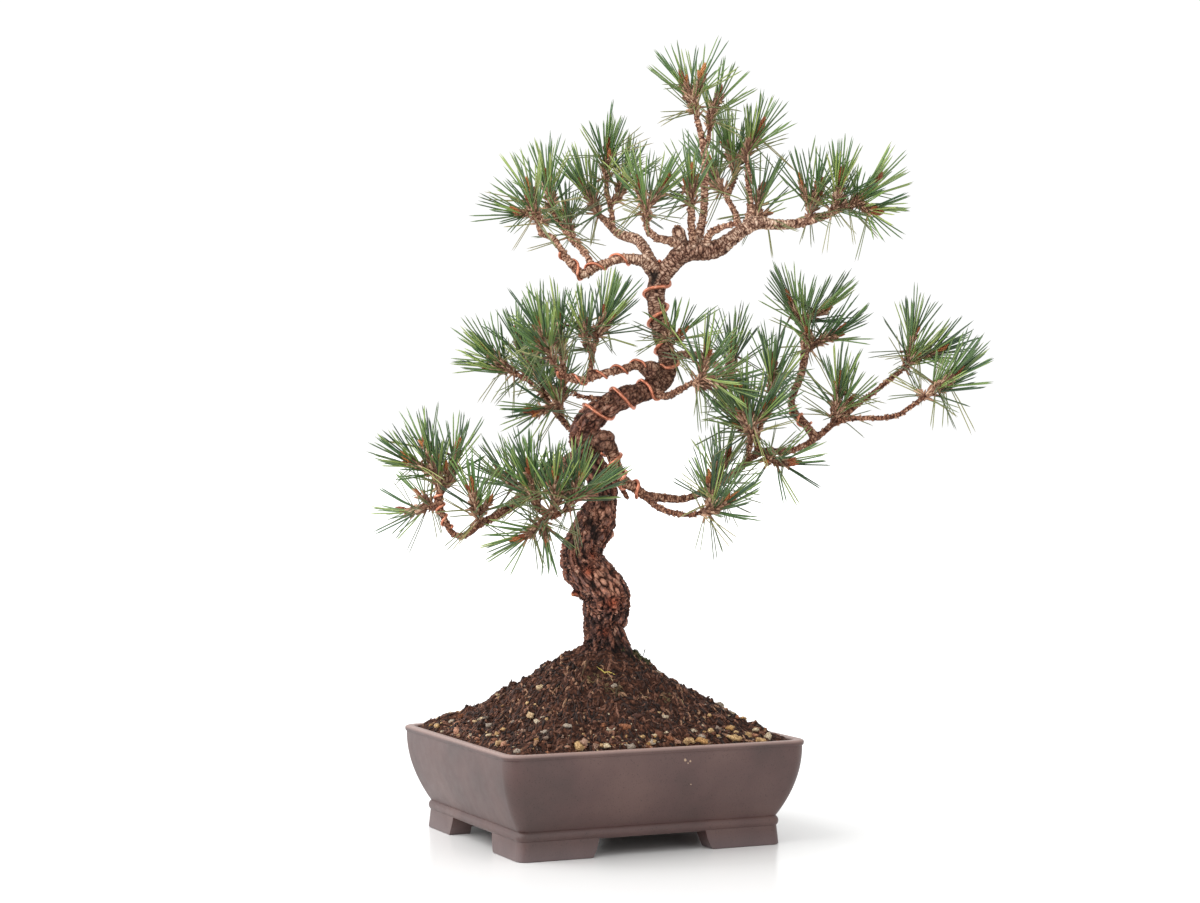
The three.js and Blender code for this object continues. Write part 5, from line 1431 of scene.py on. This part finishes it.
def brush(lines, path, first, pairs, length, spread, draw):
    """The needles along a stem: the low ones stand out, the high ones stand up, and some are old."""
    reach = path.length - first
    for order in range(pairs):
        share = ((order + draw.random()) / pairs) ** NEEDLE["crowding"]
        at = first + reach * (NEEDLE["roots"][0] + (NEEDLE["roots"][1] - NEEDLE["roots"][0]) * share)
        turn = order * math.pi * (3 - math.sqrt(5)) + draw.uniform(-0.4, 0.4)
        middle, radius, forward, outward = standing_on(path, at, turn)
        old = draw.random() < NEEDLE["old"] + 0.5 * max(0, 0.25 - share)
        low, high = NEEDLE["tilt"]
        tilt = (low + (high - low) * share ** 0.7) * spread + draw.gauss(0, NEEDLE["tilt_jitter"])
        way = leaning(forward, outward, draw.uniform(*NEEDLE["old_tilt"]) if old else tilt)
        way = (way + Vector((0, 0, 0 if old else NEEDLE["lift"]))).normalized()
        needle_pair(lines, middle + outward * radius * 0.5, way, length, old, draw)


def shingled_stem(lines, path, first, draw):
    """A stem with its scales, from a little inside what it grows from."""
    step = SCALE["stem_step"]
    middles, radii, *_ = path.sections(stepped(max(0, first - step), path.length, step))
    radii = radii * 0.9
    radii[0] = radii[-1] = 0
    lines.append({"places": middles, "radii": radii, "material": 1, "tone": 0.3})
    start = max(0, first - SCALE["below"])
    for order in range(int(SCALE["per_mm"] * (path.length - start) / MM)):
        at = start + (path.length - start) * draw.random() * 0.98
        middle, radius, forward, outward = standing_on(path, at, order * SPIRAL)
        way = leaning(forward, outward, SCALE["tilt"] * draw.uniform(*SCALE["tilt_share"]))
        root, length = middle + outward * radius * SCALE["seat"], draw.uniform(*SCALE["length"]) * MM
        lines.append(blade(
            root, way, length, PEGS["profile"], SCALE["radius"], material=1, tone=draw.random(),
        ))


def candle(lines, start, direction, size, tone):
    """A bud with its rows of overlapping scales."""
    length, radius = BUD["length"] * size, BUD["radius"] * size
    lines.append(blade(start, direction, length, BUD["profile"], radius * BUD["core"], material=2, tone=tone))
    aside = direction.orthogonal().normalized()
    for row in range(BUD["rows"]):
        share = BUD["first_row"] + BUD["covered"] * row / (BUD["rows"] - 1)
        girth = radius * float(np.interp(share, *zip(*BUD["profile"])))
        for order in range(BUD["per_row"]):
            turn = 2 * math.pi * (order + 0.5 * (row % 2)) / BUD["per_row"]
            outward = Matrix.Rotation(turn, 3, direction) @ aside
            root = start + direction * length * share + outward * girth * BUD["seat"]
            way = leaning(direction, outward, BUD["opening"][0] + BUD["opening"][1] * share)
            lines.append(blade(
                root, way, length * BUD["scale_length"], BUD["scale_profile"], girth * BUD["scale_radius"],
                material=2, tone=tone,
            ))


def spray_lines(name):
    start, base, tips, needles = SPRAYS[name]
    draw = random.Random(f"{NEEDLE['seed']} {name}")
    shoot = shoots[name]
    split = shoot.length_at(1)
    fork = shoot.place(split + (shoot.length - split) * TWIG["fork"])
    forks = [Path([fork, seen(tip)], [TWIG["tip_radius"]] * 2) for tip in tips[1:]]
    pairs = needles * NEEDLE["pairs"] / len(tips) * THINNED.get(name, 1)
    spread = NEEDLE["spread"] if name in THINNED else 1
    lines = []
    for path, first in [(shoot, split)] + [(path, 0) for path in forks]:
        shingled_stem(lines, path, first, draw)
        brush(lines, path, first, round(pairs), NEEDLE["length"], spread, draw)
        tip, _, forward, outward = standing_on(path, path.length, draw.uniform(*ANY_TURN))
        up = (forward + Vector((0, 0, 0.5))).normalized()
        candle(lines, tip - up * 0.5 * MM, up, draw.uniform(*BUD["size"]), draw.random())
        for _ in range(draw.choice((1, 1, 2))):
            outward = Matrix.Rotation(draw.uniform(*ANY_TURN), 3, forward) @ outward
            beside = BUD["beside"]
            way = leaning(up, outward, beside["tilt"])
            candle(lines, tip - forward * beside["below"], way, beside["size"], draw.random())
    # A shorter shoot stands beside the stem's foot, and a few old needles are caught below it.
    at = split * draw.uniform(*SIDE_SHOOT["from"])
    middle, radius, forward, outward = standing_on(shoot, at, draw.uniform(*ANY_TURN))
    way = leaning(forward, outward, draw.uniform(*SIDE_SHOOT["tilt"]))
    way = (way + Vector((0, 0, SIDE_SHOOT["lift"]))).normalized()
    side = Path([middle, middle + way * draw.uniform(*SIDE_SHOOT["length"]) * MM], [TWIG["radius"]] * 2)
    shingled_stem(lines, side, 0, draw)
    pairs, length = round(pairs * SIDE_SHOOT["pairs"]), NEEDLE["length"] * SIDE_SHOOT["needles"]
    brush(lines, side, 0, pairs, length, spread, draw)
    candle(lines, middle + way * side.length, way, SIDE_SHOOT["bud"], draw.random())
    for _ in range(NEEDLE["strays"]):
        at = split * draw.uniform(0.3, 1)
        middle, radius, forward, outward = standing_on(shoot, at, draw.uniform(*ANY_TURN))
        way = leaning(forward, outward, draw.uniform(*NEEDLE["stray_tilt"]))
        length = NEEDLE["length"] * NEEDLE["stray_length"]
        needle_pair(lines, middle + outward * radius * 0.5, way, length, True, draw)
    return lines


# Pine needles: stiff and waxy, deep green with a cool bloom, each pair of its own shade up to
# yellow-green, yellower at the root, with a dried point. Old ones are duller and more olive. The wax
# gives them a gloss. The attribute "growth" holds the share of the way along, the tone and the age.
needle_green, shader = new_material("black_pine_needle")
along, tone, age = parts_of(needle_green, "growth")
fresh = add_node(
    needle_green, "ValToRGB", {"Fac": tone},
    stops=[(0, "#28432b"), (0.3, "#3d5f39"), (0.6, "#577b43"), (0.85, "#79994f"), (1, "#9fb463")],
)
worn = add_node(
    needle_green, "ValToRGB", {"Fac": tone}, stops=[(0, "#566343"), (0.6, "#7a7d50"), (1, "#a09262")],
)
body = mixed(needle_green, age, fresh, worn)
length_tone = add_node(
    needle_green, "ValToRGB", {"Fac": along},
    stops=[(0.05, "#ffe9a8"), (0.25, "#e9ecd9"), (0.8, "#ffffff"), (0.94, "#fff3c4"), (0.985, "#d19a66")],
)
tint = mixed(needle_green, 1.0, body, length_tone, "MULTIPLY")
feed(shader, {"Base Color": tint, "Roughness": 0.34, "Specular IOR Level": 0.55})

# The candle buds: resinous scales, warm orange-brown, paler towards their ends, slightly glossy.
candle_brown, shader = new_material("resinous_bud_scale")
along, tone, _ = parts_of(candle_brown, "growth")
body = add_node(
    candle_brown, "ValToRGB", {"Fac": tone}, stops=[(0, "#87472a"), (0.5, "#a9643a"), (1, "#c98950")],
)
ends = add_node(
    candle_brown, "ValToRGB", {"Fac": along}, stops=[(0.3, "#c9b0a0"), (0.7, "#ffffff"), (1, "#fff2dc")],
)
tint = mixed(candle_brown, 1.0, body, ends, "MULTIPLY")
feed(shader, {"Base Color": tint, "Roughness": 0.5})

for name in SPRAYS:
    mesh = strands(f"needles_{name}", spray_lines(name), [needle_green, scale_brown, candle_brown])
    piece = new_piece(f"needles_{name}", mesh)
    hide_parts(f"spray_{name}")
    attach(piece, "root")
